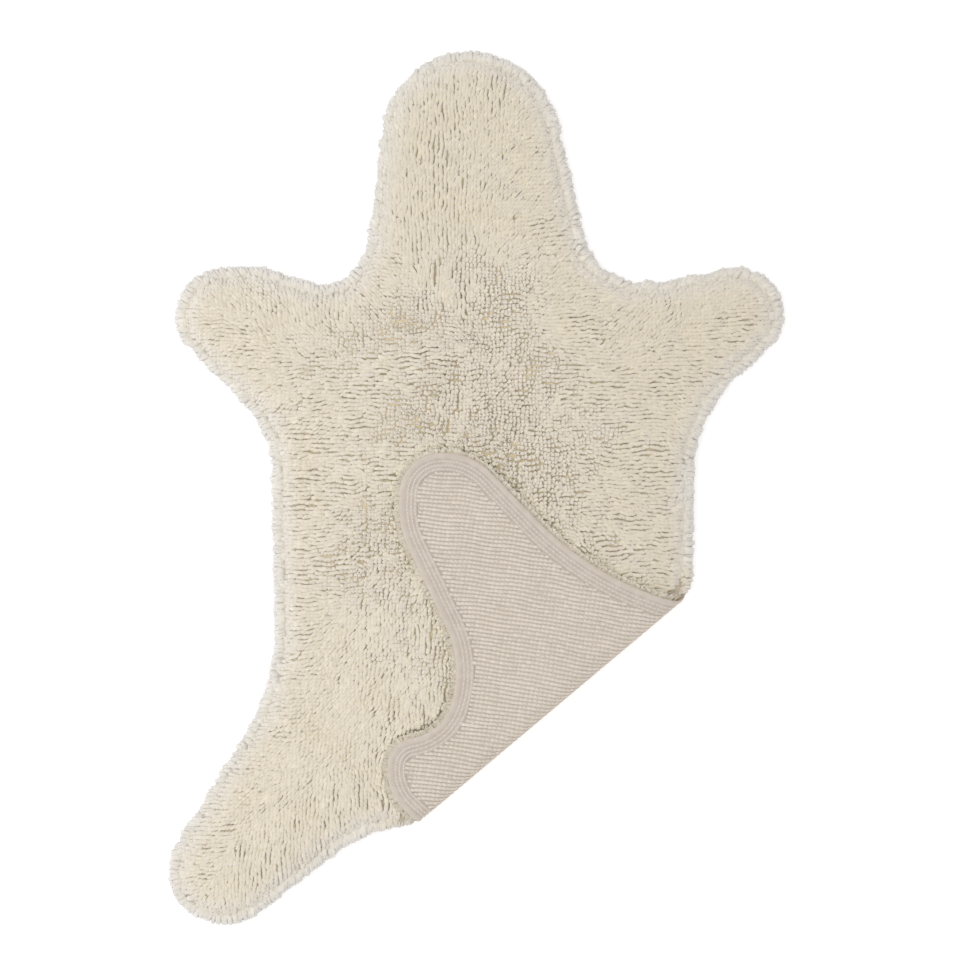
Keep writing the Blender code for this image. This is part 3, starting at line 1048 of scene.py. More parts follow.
@dataclass(frozen=True)
class WoolYarn:
    """Loose spun wool, two plies twisted: darker and warmer at the root and paler at the tip, as
    painted shade deep in the pile and painted light on top.
    """

    name: str = "wool_yarn"
    # painted shade and light along the yarn: the root and middle colours stand for the shade deep
    # between the yarns, the tip colour for the lit top
    root: Colour = (0.865, 0.75, 0.51)
    middle: Colour = (0.79, 0.705, 0.56)
    tip: Colour = (0.825, 0.76, 0.66)
    warm: Colour = (0.795, 0.71, 0.585)
    # painted rim light: the paler, greyer wool towards the cut edge
    worn: Colour = (0.83, 0.80, 0.765)
    # painted shade: the yellower colour that the pile has in the folded leg's shade
    sheltered: Colour = (0.95, 0.88, 0.72)
    middle_line: tuple[float, float] = (1.9, 0.62)  # slope and drop, over the length
    tip_line: tuple[float, float] = (2.6, 1.45)
    warm_share: float = 0.45
    warm_line: tuple[float, float] = (1.6, 0.55)
    patch_size: float = 0.11
    worn_share: float = 0.8
    sheltered_share: float = 0.9
    tint_depth: float = 0.05
    streak_depth: float = 0.22  # of the fine streaks on the yarns' ends near the rim
    streak_scale: tuple[float, float, float] = (9.0, 2.2, 5.0)  # round, along, yarn to yarn
    plies: float = 2.0
    twists: float = 2.6
    ply_depth: float = 0.00035
    fibre_size: float = 0.0011
    fibre_depth: float = 0.00022
    smoothed: float = 0.8  # share of the relief that the wool near the rim has lost to wear
    frayed: float = 0.87  # share of the length at which the tip starts to come apart
    fray: float = 1.05
    fray_edge: float = 5.0  # how sharply the fibres of the tip end

    def material(self) -> bpy.types.Material:
        """Colour by the way along the yarn, as painted shade low down and painted light at the tip,
        by patches and yarn, paler at the rim as painted rim light and wear, and yellower beside the
        folded leg as painted shade; relief by the twist and fibres.

        The tip is seen through between streaks of fibre, more so towards its end. The tips that
        crowd under the rim are whole.

        Returns:
            The material.
        """
        recipe = Recipe(self.name, roughness=0.95, sheen=0.30)
        along = recipe.value_of("along")
        tint = recipe.value_of("tint")
        places = recipe.object_places()
        # painted shade low on the yarn and painted light at its tip
        lower = recipe.mixed(along.share(self.middle_line), self.root, self.middle)
        colour = recipe.mixed(along.share(self.tip_line), lower, self.tip)
        patches = recipe.noise(places, self.patch_size).share(self.warm_line)
        colour = recipe.mixed(patches * self.warm_share, colour, self.warm)
        # painted rim light towards the cut edge, where the wool is also worn smoother and its ends
        # streaked
        worn = recipe.value_of("worn")
        colour = recipe.mixed(worn * self.worn_share, colour, self.worn)
        # painted shade beside the folded leg, yellower
        sheltered = recipe.value_of("sheltered") * self.sheltered_share
        colour = recipe.mixed(sheltered, colour, self.sheltered)
        around, _, _ = recipe.parts(recipe.cloth_places())
        spun = [wire * scale for wire, scale in zip((around, along, tint), self.streak_scale)]
        streaks = recipe.noise(recipe.vector(*spun), 1.0, 1.0)
        streaked = (streaks - 0.5) * worn * self.streak_depth
        colour = recipe.shaded(colour, tint * self.tint_depth + streaked + 1.0)
        ply = (around * (TURN * self.plies) + along * (TURN * self.twists)).wave()
        relief = 1.0 - worn * self.smoothed
        fibres = recipe.noise(places, self.fibre_size, detail=3.0) * relief
        coarse = recipe.bump(ply * relief, self.ply_depth)
        gone = (along - self.frayed) * (self.fray / (1.0 - self.frayed)) * (1.0 - worn)
        alpha = ((streaks + 0.5 - gone) * self.fray_edge).kept()
        normal = recipe.bump(fibres, self.fibre_depth, coarse)
        return recipe.finished(colour, normal, alpha)


@dataclass(frozen=True)
class DeepPile:
    """The dense wool between the roots of the yarns, seen only in the gaps."""

    name: str = "deep_pile"
    shadow: Colour = (0.83, 0.72, 0.49)
    light: Colour = (0.86, 0.77, 0.575)
    # painted rim light towards the cut edge
    worn: Colour = (0.84, 0.80, 0.74)
    # painted shade beside the folded leg
    sheltered: Colour = (0.89, 0.80, 0.62)
    worn_share: float = 0.8
    sheltered_share: float = 0.6
    clump_size: float = 0.0045
    clump_depth: float = 0.0012
    light_line: tuple[float, float] = (2.0, 0.5)  # slope and drop

    def material(self) -> bpy.types.Material:
        """Warm wool in soft clumps, with painted shade in their hollows and painted light on their
        tops, paler towards the rim as painted rim light and wear, and paler and yellower beside the
        folded leg as painted shade.

        Returns:
            The material.
        """
        recipe = Recipe(self.name, roughness=1.0, sheen=0.2)
        clumps = recipe.noise(recipe.object_places(), self.clump_size, detail=3.0)
        colour = recipe.mixed(clumps.share(self.light_line), self.shadow, self.light)
        # painted rim light towards the cut edge
        colour = recipe.mixed(recipe.value_of("worn") * self.worn_share, colour, self.worn)
        # painted shade beside the folded leg
        sheltered = recipe.value_of("sheltered") * self.sheltered_share
        colour = recipe.mixed(sheltered, colour, self.sheltered)
        return recipe.finished(colour, recipe.bump(clumps, self.clump_depth))


@dataclass(frozen=True)
class WovenGround:
    """The ground weave: ribs along the rug, made of short floats in step with each other."""

    name: str = "woven_ground"
    dark: Colour = (0.64, 0.55, 0.46)
    light: Colour = (0.76, 0.68, 0.58)
    rib_pitch: float = 0.0052
    float_pitch: float = 0.0055
    rib_depth: float = 0.0007
    bead: float = 0.6  # share of a rib's height that dips between its floats
    relief_share: float = 0.85  # of the paler colour by the relief, painted shade in its hollows
    cloud_share: float = 0.35  # and by wide clouds
    darker: float = 0.12
    cloud_size: float = 0.02

    def material(self) -> bpy.types.Material:
        """Colour and relief by a sine across the ribs times a sine along them, the colour darker in
        the hollows as painted shade.

        Returns:
            The material.
        """
        recipe = Recipe(self.name, roughness=0.92, sheen=0.15)
        across, along, _ = recipe.parts(recipe.cloth_places())
        ridge = (across * (1.0 / self.rib_pitch) * TURN - math.pi / 2).wave()
        bead = (along * (TURN / self.float_pitch)).wave()
        relief = ridge * (bead * self.bead + (1.0 - self.bead))
        cloud = recipe.noise(recipe.object_places(), self.cloud_size)
        # painted shade in the relief's hollows, and the cloth's own cloudy tone
        share = (relief * self.relief_share + cloud * self.cloud_share - self.darker).kept()
        colour = recipe.mixed(share, self.dark, self.light)
        return recipe.finished(colour, recipe.bump(relief, self.rib_depth))


@dataclass(frozen=True)
class WeftYarn:
    """The soft yarn of the woven back's floats, with a few darker hairs spun in."""

    name: str = "weft_yarn"
    # end: painted shade where the float dives into the cloth
    end: Colour = (0.755, 0.67, 0.585)
    face: Colour = (0.785, 0.705, 0.62)
    hair: Colour = (0.46, 0.38, 0.30)
    hair_size: float = 0.004
    hair_share: float = 0.35
    hair_line: tuple[float, float] = (9.0, 6.4)  # slope and drop, so that only peaks are hairs
    cloud_size: float = 0.045
    cloud_depth: float = 0.10
    tint_depth: float = 0.05
    fibre_size: float = 0.0009
    fibre_depth: float = 0.0002

    def material(self) -> bpy.types.Material:
        """Paler on the float's back than at its ends, which are darker as painted shade where they
        dive into the cloth, and cloudy over the cloth.

        Returns:
            The material.
        """
        recipe = Recipe(self.name, roughness=0.92, sheen=0.2)
        along = recipe.value_of("along")
        tint = recipe.value_of("tint")
        places = recipe.object_places()
        # painted shade towards the ends of the float
        middle = (along * math.pi).sine().kept()
        colour = recipe.mixed(middle, self.end, self.face)
        hairs = recipe.noise(places, self.hair_size, detail=1.0).share(self.hair_line)
        colour = recipe.mixed(hairs * self.hair_share, colour, self.hair)
        cloud = recipe.noise(places, self.cloud_size) * self.cloud_depth
        cloud = cloud + (1.0 - self.cloud_depth / 2)
        colour = recipe.shaded(colour, cloud * (tint * self.tint_depth + 1.0))
        fibres = recipe.noise(places, self.fibre_size, detail=2.0)
        return recipe.finished(colour, recipe.bump(fibres, self.fibre_depth))


@dataclass(frozen=True)
class BindingTape:
    """Smooth cotton tape: a plain pinkish roll and a fine slanting weave on the flat."""

    name: str = "binding_tape"
    # groove: painted shade in the tape's grooves; face: the tape on its ridges and roll
    groove: Colour = (0.59, 0.505, 0.435)
    face: Colour = (0.70, 0.61, 0.535)
    pale: Colour = (0.80, 0.73, 0.65)
    cloud_size: float = 0.009
    pale_line: tuple[float, float] = (2.6, 0.95)  # slope and drop
    pale_share: float = 0.5
    weave_pitch: float = 0.0011
    weave_depth: float = 0.00012

    def material(self) -> bpy.types.Material:
        """Paler where the surface stands up and darker in the grooves, as painted light and shade,
        with a twill of fine slanting lines.

        Returns:
            The material.
        """
        recipe = Recipe(self.name, roughness=0.85, sheen=0.15)
        raised = recipe.value_of("raised")
        run, depth, _ = recipe.parts(recipe.cloth_places())
        twill = ((run + depth) * (TURN / self.weave_pitch)).wave()
        cloud = recipe.noise(recipe.object_places(), self.cloud_size, detail=4.0)
        # painted shade in the grooves and painted light on the ridges
        colour = recipe.mixed(raised, self.groove, self.face)
        pale = cloud.share(self.pale_line) * self.pale_share
        colour = recipe.mixed(pale, colour, self.pale)
        return recipe.finished(colour, recipe.bump(twill, self.weave_depth))


@dataclass(frozen=True)
class SewingThread:
    """Pale twisted thread."""

    name: str = "sewing_thread"
    shade: Colour = (0.72, 0.64, 0.56)
    light: Colour = (0.85, 0.785, 0.715)
    twist_size: float = 0.0005
    twist_depth: float = 0.0001

    def material(self) -> bpy.types.Material:
        """Pale on the back of each stitch and darker where it dives into the tape.

        Returns:
            The material.
        """
        recipe = Recipe(self.name, roughness=0.7, sheen=0.1)
        middle = (recipe.value_of("along") * math.pi).sine().kept()
        colour = recipe.mixed(middle, self.shade, self.light)
        twist = recipe.noise(recipe.object_places(), self.twist_size, detail=1.0)
        return recipe.finished(colour, recipe.bump(twist, self.twist_depth))


@dataclass(frozen=True)
class PaleFloor:
    """A matt white studio floor."""

    name: str = "pale_floor"
    low: Colour = (0.70, 0.70, 0.70)
    high: Colour = (0.72, 0.72, 0.72)
    cloud_size: float = 0.3
    glow: float = 0.5

    def material(self) -> bpy.types.Material:
        """White with a trace of mottling, and a little light of its own against grey.

        Returns:
            The material.
        """
        recipe = Recipe(self.name, roughness=1.0)
        cloud = recipe.noise(recipe.object_places(), self.cloud_size)
        recipe.shader.inputs["Emission Color"].default_value = (1.0, 1.0, 1.0, 1.0)
        recipe.shader.inputs["Emission Strength"].default_value = self.glow
        return recipe.finished(recipe.mixed(cloud, self.low, self.high))


# THE PIECES, with their sizes in millimetres


@dataclass(frozen=True)
class Ground:
    """The woven ground: one sheet, lifted over the tape and hollowed where floats lie on it."""

    pelt: Pelt
    step: float = 8.0
    margin: float = 4.5  # from the tape's outer edge to the cut cloth
    thickness: float = 2.0
    rest: float = 0.06  # of the woven face over the floor
    over_tape: float = 1.45
    tape_end: float = 23.9
    ramp: float = 5.0
    under_floats: float = 0.95
    before_bend: float = 14.0  # where the face starts to make room for the floats
    float_ramp: float = 10.0
    flat_size: tuple[float, float] = (0.784, 1.086)  # unfolded, in metres
    flat_area: float = 0.51

    def low(self, places: np.ndarray) -> np.ndarray:
        """Height of the woven face: on the floor, under the floats or over the tape.

        Args:
            places: Places on the pattern, one a row.

        Returns:
            One height a place.
        """
        folded = eased((self.pelt.fold.past(places) + self.before_bend) / self.float_ramp)
        inner = self.rest + (self.under_floats - self.rest) * folded
        lifted = 1.0 - eased((self.pelt.depth(places) - self.tape_end) / self.ramp)
        return inner + (self.over_tape - inner) * lifted

    def build(self) -> bpy.types.Object:
        """Make the sheet.

        Returns:
            The sheet, fitted to the frame.
        """
        grid = TrimmedGrid.over(self.pelt, self.step, self.margin)
        low = self.low(grid.places)
        sheet = grid.slab("woven_ground", self.pelt, low, low + self.thickness)
        return fitted(sheet, WovenGround().material(), ("pile_cloth",))


@dataclass(frozen=True)
class DeepWool:
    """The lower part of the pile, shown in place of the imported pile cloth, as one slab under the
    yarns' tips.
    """

    pelt: Pelt
    step: float = 8.0
    margin: float = 3.5
    base: float = 2.6
    sunk: float = 0.4  # below the base, into the ground
    thinnest: float = 1.0
    under_upright: float = 6.2  # below the pile's face, between upright yarns
    under_lying: float = 3.5  # and under yarns that lie down
    level_from: float = 0.8  # lean at which they count as lying
    beside_leg: float = 1.5  # deeper still beside the folded leg
    bend_drop: float = 0.8  # share of its height that the slab lacks at the ends of the bend
    bend_hold: float = 0.4  # lengths of the bend, either way from its middle, that lack it all
    bend_reach: float = 32.0
    rim_share: float = 0.72  # of its height that the slab has at the rim
    rim_reach: float = 11.0

    def top(self, places: np.ndarray) -> np.ndarray:
        """Height of the slab's face: below the yarns that show, and lower towards the rim.

        Args:
            places: Places on the pattern, one a row.

        Returns:
            One height a place.
        """
        lying = eased(np.linalg.norm(self.pelt.lie(places), axis=1) / self.level_from)
        under = self.under_upright + (self.under_lying - self.under_upright) * lying
        near = 1.0 - eased((self.pelt.depth(places) - self.margin) / self.rim_reach)
        under = under + self.beside_leg * self.pelt.sheltered(places)
        full = np.maximum(self.pelt.pile_top(places) - under - self.base, self.thinnest)
        full = full * (1.0 - (1.0 - self.rim_share) * near)
        from_bend = np.abs(self.pelt.fold.past(places) / self.pelt.fold.length - 0.5)
        at_end = 1.0 - eased(self.pelt.depth(places) / self.bend_reach)
        dropped = self.bend_drop * eased(1.0 + self.bend_hold - from_bend) * at_end
        return self.base + full * (1.0 - dropped)

    def build(self) -> bpy.types.Object:
        """Make the slab.

        Returns:
            The slab, fitted to the frame.
        """
        grid = TrimmedGrid.over(self.pelt, self.step, self.margin)
        low = np.full(len(grid.places), self.base - self.sunk)
        # for the painted rim light and wear, and the painted shade beside the folded leg
        values = {"worn": self.pelt.light_and_wear(grid.places), "sheltered": self.pelt.sheltered(grid.places)}
        slab = grid.slab("deep_wool", self.pelt, low, self.top(grid.places), values)
        return fitted(slab, DeepPile().material(), ("pile_cloth",))


MIDDLE_LINE = -12.0  # across, between the left areas and the right ones
NECK = 800.0  # along, between the areas of the flat pelt
WAIST = 595.0
LOIN = 330.0


class Area(Enum):
    """The parts of the pelt that the open pile is made in."""

    HEAD = "pile_head"
    LEFT_SHOULDER = "pile_left_shoulder"
    RIGHT_SHOULDER = "pile_right_shoulder"
    LEFT_FLANK = "pile_left_flank"
    RIGHT_FLANK = "pile_right_flank"
    LEFT_HIND = "pile_left_hind_leg"
    FOLDED_HIND = "pile_folded_hind_leg"

    @classmethod
    def of(cls, pelt: Pelt, places: np.ndarray) -> np.ndarray:
        """Sort places by area, each into the first whose test it passes.

        Args:
            pelt: The rug's shape.
            places: Places on the pattern, one a row.

        Returns:
            One number a place, of the area in the order above.
        """
        across, along = places.T
        left = across < MIDDLE_LINE
        tests = {
            cls.FOLDED_HIND: pelt.fold.past(places) > 0.0,
            cls.HEAD: along > NECK,
            cls.LEFT_SHOULDER: (along > WAIST) & left,
            cls.RIGHT_SHOULDER: along > WAIST,
            cls.LEFT_FLANK: (along > LOIN) & left,
            cls.RIGHT_FLANK: along > LOIN,
        }
        members = list(cls)
        numbers = [members.index(area) for area in tests]
        return np.select(list(tests.values()), numbers, members.index(cls.LEFT_HIND))


@dataclass(frozen=True)
class Tufts:
    """Where yarns stand and how each one leans, one row a yarn."""

    roots: np.ndarray
    lean: np.ndarray  # vector, 1 for a yarn that ends level
    start: np.ndarray  # share of the lean that the yarn has at its root
    base: np.ndarray  # height of the root
    top: np.ndarray  # height that the middle of the yarn may reach
    length: np.ndarray
    overhang: np.ndarray  # how far past the cut edge the tip may reach

    @staticmethod
    def joined(some: Sequence["Tufts"]) -> "Tufts":
        """Several lots as one."""
        columns = zip(*(vars(lot).values() for lot in some))
        return Tufts(*(np.concatenate(column) for column in columns))

    def picked(self, which: np.ndarray) -> "Tufts":
        """The yarns that a mask picks."""
        return Tufts(*(column[which] for column in vars(self).values()))


@dataclass(frozen=True)
class YarnMake:
    """How a kind of yarn is made: the rings along it, and their girths against its radius."""

    radius: float
    stations: tuple[float, ...]
    girth: tuple[float, ...]
    sides: int = 6
    radius_spread: float = 0.11
    radius_most: float = 0.35  # most that a yarn is thicker or thinner
    lying_wider: float = 0.02
    lying_flatter: float = 0.38
    lying_taper: float = 0.70  # share of its height that a lying yarn loses towards the tip
    taper_start: float = 0.45  # share of the length at which it starts
    taper_width: float = 0.3  # how much of the taper the width has
    rim_softer: float = 0.45  # how much wider, and half that flatter, near the cut edge
    rim_softer_reach: float = 50.0
    curl: float = 0.3
    curl_turns: float = 0.8
    clump_pull: float = 0.45
    clump_length: float = 19.0
    clump_free: float = 30.0  # depth from which the clumps have their whole pull

    def uv(self, count: int) -> np.ndarray:
        """The way round each yarn and along it, for the twist.

        Args:
            count: Number of yarns.

        Returns:
            One (round, along) a face corner, in the order of Strands.faces().
        """
        side = np.arange(self.sides) / self.sides
        after = side + 1.0 / self.sides
        heights = np.array(self.stations)
        across = np.stack((side, after, after, side), axis=-1)
        bands = [
            np.stack((across, np.broadcast_to([low, low, high, high], across.shape)), axis=-1)
            for low, high in zip(heights[:-1], heights[1:])
        ]
        band = np.stack(bands).reshape(-1, 2)
        tips = np.stack((side, after, (side + after) / 2), axis=-1)
        ends = np.broadcast_to([heights[-1], heights[-1], 1.0], tips.shape)
        cone = np.stack((tips, ends), axis=-1).reshape(-1, 2)
        root = np.stack((side[::-1], np.full(self.sides, heights[0])), axis=-1)
        return np.concatenate([np.tile(part, (count, 1)) for part in (band, cone, root)])


class RimRow(NamedTuple):
    """A row of yarns along the cut edge that hang out over it, in millimetres."""

    place: str
    depth: float  # of the roots, inside the edge
    spread: float  # of that depth
    lean: float  # of the tips: 1 ends level, and more droops
    start: float  # share of the lean at the root
    base: float  # height of the roots
    top_share: float  # of the pile's height that the row may reach
    length: float
    seed: int


RIM_ROWS = (
    RimRow("upper", 10.6, 1.4, 1.46, 0.14, 2.8, 0.72, 25.0, 72),
    RimRow("lower", 7.8, 0.8, 1.46, 0.20, 3.4, 0.50, 18.0, 73),
)


@dataclass(frozen=True)
class Pile:
    """The long wool yarns, rooted in the ground and combed outwards, in millimetres."""

    pelt: Pelt
    seed: int = 404
    field: YarnMake = YarnMake(3.05, (0.42, 0.72, 0.93), (1.0, 1.0, 0.86))
    fringe: YarnMake = YarnMake(
        2.2, (0.12, 0.42, 0.72, 0.93), (0.95, 1.0, 0.96, 0.70), lying_wider=0.4,
        lying_flatter=0.52, rim_softer=0.2
    )

    # Where the tips of the open pile lie, and where they are left out
    pitch: tuple[float, float] = (4.95, 5.15)
    jitter: float = 0.42
    warp: float = 0.9  # that bends the rows of the grid
    warp_length: float = 85.0
    comb_jitter: float = 0.5  # of the tips of lying yarns, along the way they lie
    slip_reach: float = 14.0  # from the cut edge, inside which they slip less
    first_tips: float = -8.0  # depth of the outermost tips
    first_roots: float = 9.0
    hidden_depth: float = 26.0  # under the folded leg, past which no yarn is seen
    folded_depth: float = 36.0  # inside the folded leg's own edge, likewise

    # How the yarns lean
    drift: float = 0.13  # wandering of the lean over the pile's wide patches
    drift_length: float = 120.0
    waver: float = 0.10  # and between neighbours
    waver_length: float = 34.0
    ragged: float = 0.05  # and from yarn to yarn
    lean_limit: float = 1.04
    field_start: float = 0.22  # share of the lean at the root
    droop: float = 0.42  # more lean at the cut edge
    droop_start: float = 0.5  # share of the root's own lean that the droop takes away
    droop_reach: float = 17.0

    # The arc of a yarn
    length: float = 24.5
    length_spread: float = 1.4
    base: float = 2.6
    upright: float = 0.10  # bend, in radians, of a yarn that has no lean
    lean_most: float = math.radians(98.0)
    bent_most: float = math.radians(152.0)
    wave: float = 0.55  # of the yarns' common waviness
    wave_length: float = 25.0

    # What the pile's height and the cut edge allow
    under_top: float = 1.0
    top_spread: float = 0.35
    lying_even: float = 0.35  # how much more even the tops of lying yarns are
    rim_drop: float = 2.2  # how much lower the outermost yarns lie, under their neighbours
    rim_reach: float = 9.0  # on both sides of the cut edge, from where they lie lower
    lowest: float = 0.4  # height that no yarn sinks under
    flattest: float = 0.05  # least and most that an arc's height is squeezed or stretched
    steepest: float = 2.2
    narrowest: float = 0.1  # least that an arc's reach is squeezed
    facing_out: float = 0.3  # how squarely a yarn faces the edge from where it is squeezed
    overhang: tuple[float, float] = (7.4, 10.4)
    folded_overhang: float = 0.7  # share of that on the folded leg
    folded_from: float = 0.4  # share of the bend from which it grows less

    # The fringe's rows
    rim_pitch: float = 2.9
    rim_shift: float = 0.37  # of a row against the next, in pitches for each number of its seed
    rim_jitter: float = 0.45  # of the roots along the edge
    rim_tangent: float = 8.0  # reach over which the edge's direction is taken
    rim_lean_spread: float = 0.04
    rim_top_spread: float = 0.5
    rim_length_spread: float = 1.2
    sway: float = 0.14  # of the rim yarns to their sides
    sway_length: float = 40.0
    sway_spread: float = 0.06
    sway_most: float = 1.1

    def arcs(
        self, lean: np.ndarray, start: np.ndarray | float, length: np.ndarray
    ) -> tuple[np.ndarray, np.ndarray, np.ndarray]:
        """Yarns as arcs.

        Args:
            lean: The vectors of the yarns' lean.
            start: Share of the lean that a yarn has at its root.
            length: Of the yarns.

        Returns:
            The angle from upright at the root, its growth along the yarn, and the arc's radius.
        """
        strength = np.linalg.norm(lean, axis=1)
        bent = np.sin(np.minimum(strength, 1.0) * math.pi / 2) + np.maximum(strength - 1.0, 0.0)
        end = np.minimum(self.upright + bent * self.lean_most, self.bent_most)
        growth = end * (1.0 - start)
        return end * start, growth, length / growth

    def _spread(self) -> np.ndarray:
        """Places for the tips over the whole pelt: the weave's own ribs and floats, wavering.

        Returns:
            One place a row.
        """
        random = np.random.default_rng(self.seed)
        low = self.pelt.edge.line.min(axis=0)
        high = self.pelt.edge.line.max(axis=0)
        across = np.arange(low[0], high[0], self.pitch[0])
        along = np.arange(low[1], high[1], self.pitch[1])
        places = np.stack(np.meshgrid(across, along), axis=-1).reshape(-1, 2)
        places = places + self.warp * wandering(places, self.warp_length, seed=45)
        places = places + random.normal(0.0, self.jitter, places.shape)
        return places[self.pelt.depth(places) > self.first_tips]

    def _overhang(self, roots: np.ndarray, random: np.random.Generator) -> np.ndarray:
        """How far past the cut edge each yarn may reach, less on the folded leg.

        Args:
            roots: Where the yarns stand.
            random: The draws to take it from.

        Returns:
            One distance a yarn.
        """
        folded = eased(self.pelt.fold.past(roots) / self.pelt.fold.length - self.folded_from)
        share = 1.0 + (self.folded_overhang - 1.0) * folded
        return share * random.uniform(*self.overhang, len(roots))

    def _open(self) -> Tufts:
        """The yarns of the open pile, rooted where their tips come to lie evenly spread.

        A tip's place is drawn first. The arc's reach, back along the lean, then gives the root.

        Returns:
            The yarns that can be seen.
        """
        random = np.random.default_rng(self.seed + 1)
        tips = self._spread()
        count = len(tips)
        lean = self.pelt.lie(tips)
        lean = lean + self.drift * wandering(tips, self.drift_length, seed=41)
        lean = lean + self.waver * wandering(tips, self.waver_length, seed=43)
        lean = lean + random.normal(0.0, self.ragged, (count, 2))
        strength = np.linalg.norm(lean, axis=1)
        lean = lean * np.minimum(1.0, self.lean_limit / np.maximum(strength, 1e-6))[:, None]
        strength = np.minimum(strength, self.lean_limit)
        inner = eased(self.pelt.depth(tips) / self.slip_reach)
        slip = self.comb_jitter * random.normal(0.0, 1.0, count) * eased(strength) * inner
        tips = tips + slip[:, None] * unit(lean)
        length = self.length + random.normal(0.0, self.length_spread, count)
        begin, growth, size = self.arcs(lean, self.field_start, length)
        reach = size * (np.cos(begin) - np.cos(begin + growth))
        roots = tips - reach[:, None] * unit(lean)
        uneven = self.top_spread * (1.0 - self.lying_even * strength)
        drooping = 1.0 - eased(self.pelt.depth(tips) / self.droop_reach)
        lean = lean * (1.0 + self.droop * drooping)[:, None]
        top = self.pelt.pile_top(tips) - self.under_top + random.normal(0.0, 1.0, count) * uneven
        top = top - self.rim_drop * eased(0.5 - self.pelt.depth(tips) / (2 * self.rim_reach))
        yarns = Tufts(
            roots=roots,
            lean=lean,
            start=self.field_start * (1.0 - self.droop_start * drooping),
            base=np.full(count, self.base),
            top=top,
            length=length,
            overhang=self._overhang(roots, random),
        )
        depth = self.pelt.depth(roots)
        flat = self.pelt.fold.past(roots) < 0.0
        seen = np.where(flat, self.pelt.covered(roots) < self.hidden_depth, depth < self.folded_depth)
        return yarns.picked((depth > self.first_roots) & seen)

    def _rim_row(self, row: RimRow) -> Tufts:
        """The yarns of one row along the cut edge, combed as the pile is there.

        Args:
            row: The row.

        Returns:
            The row's yarns.
        """
        random = np.random.default_rng(row.seed)
        where = self.pelt.edge.even(self.rim_pitch, start=self.rim_shift * row.seed)
        where = where + random.normal(0.0, self.rim_jitter, len(where))
        count = len(where)
        inward = self.pelt.edge.inward(where, self.rim_tangent)
        depth = row.depth + random.normal(0.0, row.spread, (count, 1))
        roots = self.pelt.edge.at(where) + depth * inward
        turned = left_of(inward)
        combed = (self.pelt.lie(roots) * turned).sum(axis=1)
        sway = combed + SoftNoise(self.sway_length, seed=61).value(roots) * self.sway
        sway = sway + random.normal(0.0, self.sway_spread, count)
        sway = np.clip(sway, -self.sway_most, self.sway_most)
        lean = row.lean + random.normal(0.0, self.rim_lean_spread, (count, 1))
        room = row.top_share * (self.pelt.pile_top(roots) - self.under_top - row.base)
        return Tufts(
            roots=roots,
            lean=(-inward + sway[:, None] * turned) * lean,
            start=np.full(count, row.start),
            base=np.full(count, row.base),
            top=row.base + room + random.normal(0.0, self.rim_top_spread, count),
            length=row.length + random.normal(0.0, self.rim_length_spread, count),
            overhang=self._overhang(roots, random),
        )

    def strands(self, make: YarnMake, tufts: Tufts, seed: int) -> Strands:
        """Bend the yarns.

        A yarn's angle from upright grows evenly along it, so its way out is the difference of
        the cosines and its way up the difference of the sines of that angle, times its length
        over the growth. The way up is then squeezed to what the pile's height allows, and the
        way out to the overhang. Tips drift together in clumps, and each yarn curls a little.

        Args:
            make: The kind of yarn.
            tufts: Where the yarns stand.
            seed: For their uneven curls and girths.

        Returns:
            The strands in pattern millimetres.
        """
        random = np.random.default_rng(seed)
        count = len(tufts.roots)
        strength = np.linalg.norm(tufts.lean, axis=1)
        ahead = unit(tufts.lean)
        begin, growth, size = self.arcs(tufts.lean, tufts.start, tufts.length)
        end = begin + growth
        highest = size * (np.sin(np.minimum(end, math.pi / 2)) - np.sin(begin))
        rise = np.clip((tufts.top - tufts.base) / highest, self.flattest, self.steepest)
        reach = size * (np.cos(begin) - np.cos(end))
        outward = (ahead * self.pelt.outward(tufts.roots)).sum(axis=1)
        allowed = self.pelt.depth(tufts.roots) + tufts.overhang
        share = allowed / np.maximum(reach * outward, 1e-6)
        narrow = np.clip(np.where(outward > self.facing_out, share, 1.0), self.narrowest, 1.0)
        shares = np.array((*make.stations, 1.0))
        angle = begin[:, None] + growth[:, None] * shares
        out = (size * narrow)[:, None] * (np.cos(begin)[:, None] - np.cos(angle))
        up = (size * rise)[:, None] * (np.sin(angle) - np.sin(begin)[:, None])
        sideways = left_of(ahead)
        phase = random.uniform(0.0, TURN, count)
        curl = make.curl * shares * np.sin(TURN * make.curl_turns * shares + phase[:, None])
        pull = -make.clump_pull * SoftNoise(make.clump_length, seed=52).slope(tufts.roots)
        free = eased(self.pelt.depth(tufts.roots) / make.clump_free)
        flat = (
            tufts.roots[:, None, :]
            + out[..., None] * ahead[:, None, :]
            + curl[..., None] * sideways[:, None, :]
            + (shares**2)[:, None] * (free[:, None] * pull)[:, None, :]
        )
        spots = flat.reshape(-1, 2)
        waves = wandering(spots, self.wave_length, seed=54)
        flat = flat + self.wave * waves.reshape(flat.shape)
        centres = np.concatenate((flat, (tufts.base[:, None] + up)[..., None]), axis=-1)
        level = (np.sin(angle) * narrow[:, None])[..., None] * ahead[:, None, :]
        climb = (np.cos(angle) * rise[:, None])[..., None]
        course = unit(np.concatenate((level, climb), axis=-1))
        across = np.zeros_like(course)
        across[..., :2] = sideways[:, None, :]
        spread = random.normal(0.0, make.radius_spread, count)
        thick = 1.0 + np.clip(spread, -make.radius_most, make.radius_most)
        lying = eased(strength)[:, None, None]
        girth = (make.radius * thick[:, None] * np.array((*make.girth, 0.0)))[..., None]
        taper = eased((shares - make.taper_start) / (1.0 - make.taper_start))[:, None]
        taper = make.lying_taper * taper
        inner = eased(self.pelt.depth(tufts.roots) / make.rim_softer_reach)
        soft = make.rim_softer * (1.0 - inner)[:, None, None]
        wider = make.lying_wider + soft - make.taper_width * taper
        first = across * girth * (1.0 + wider * lying)
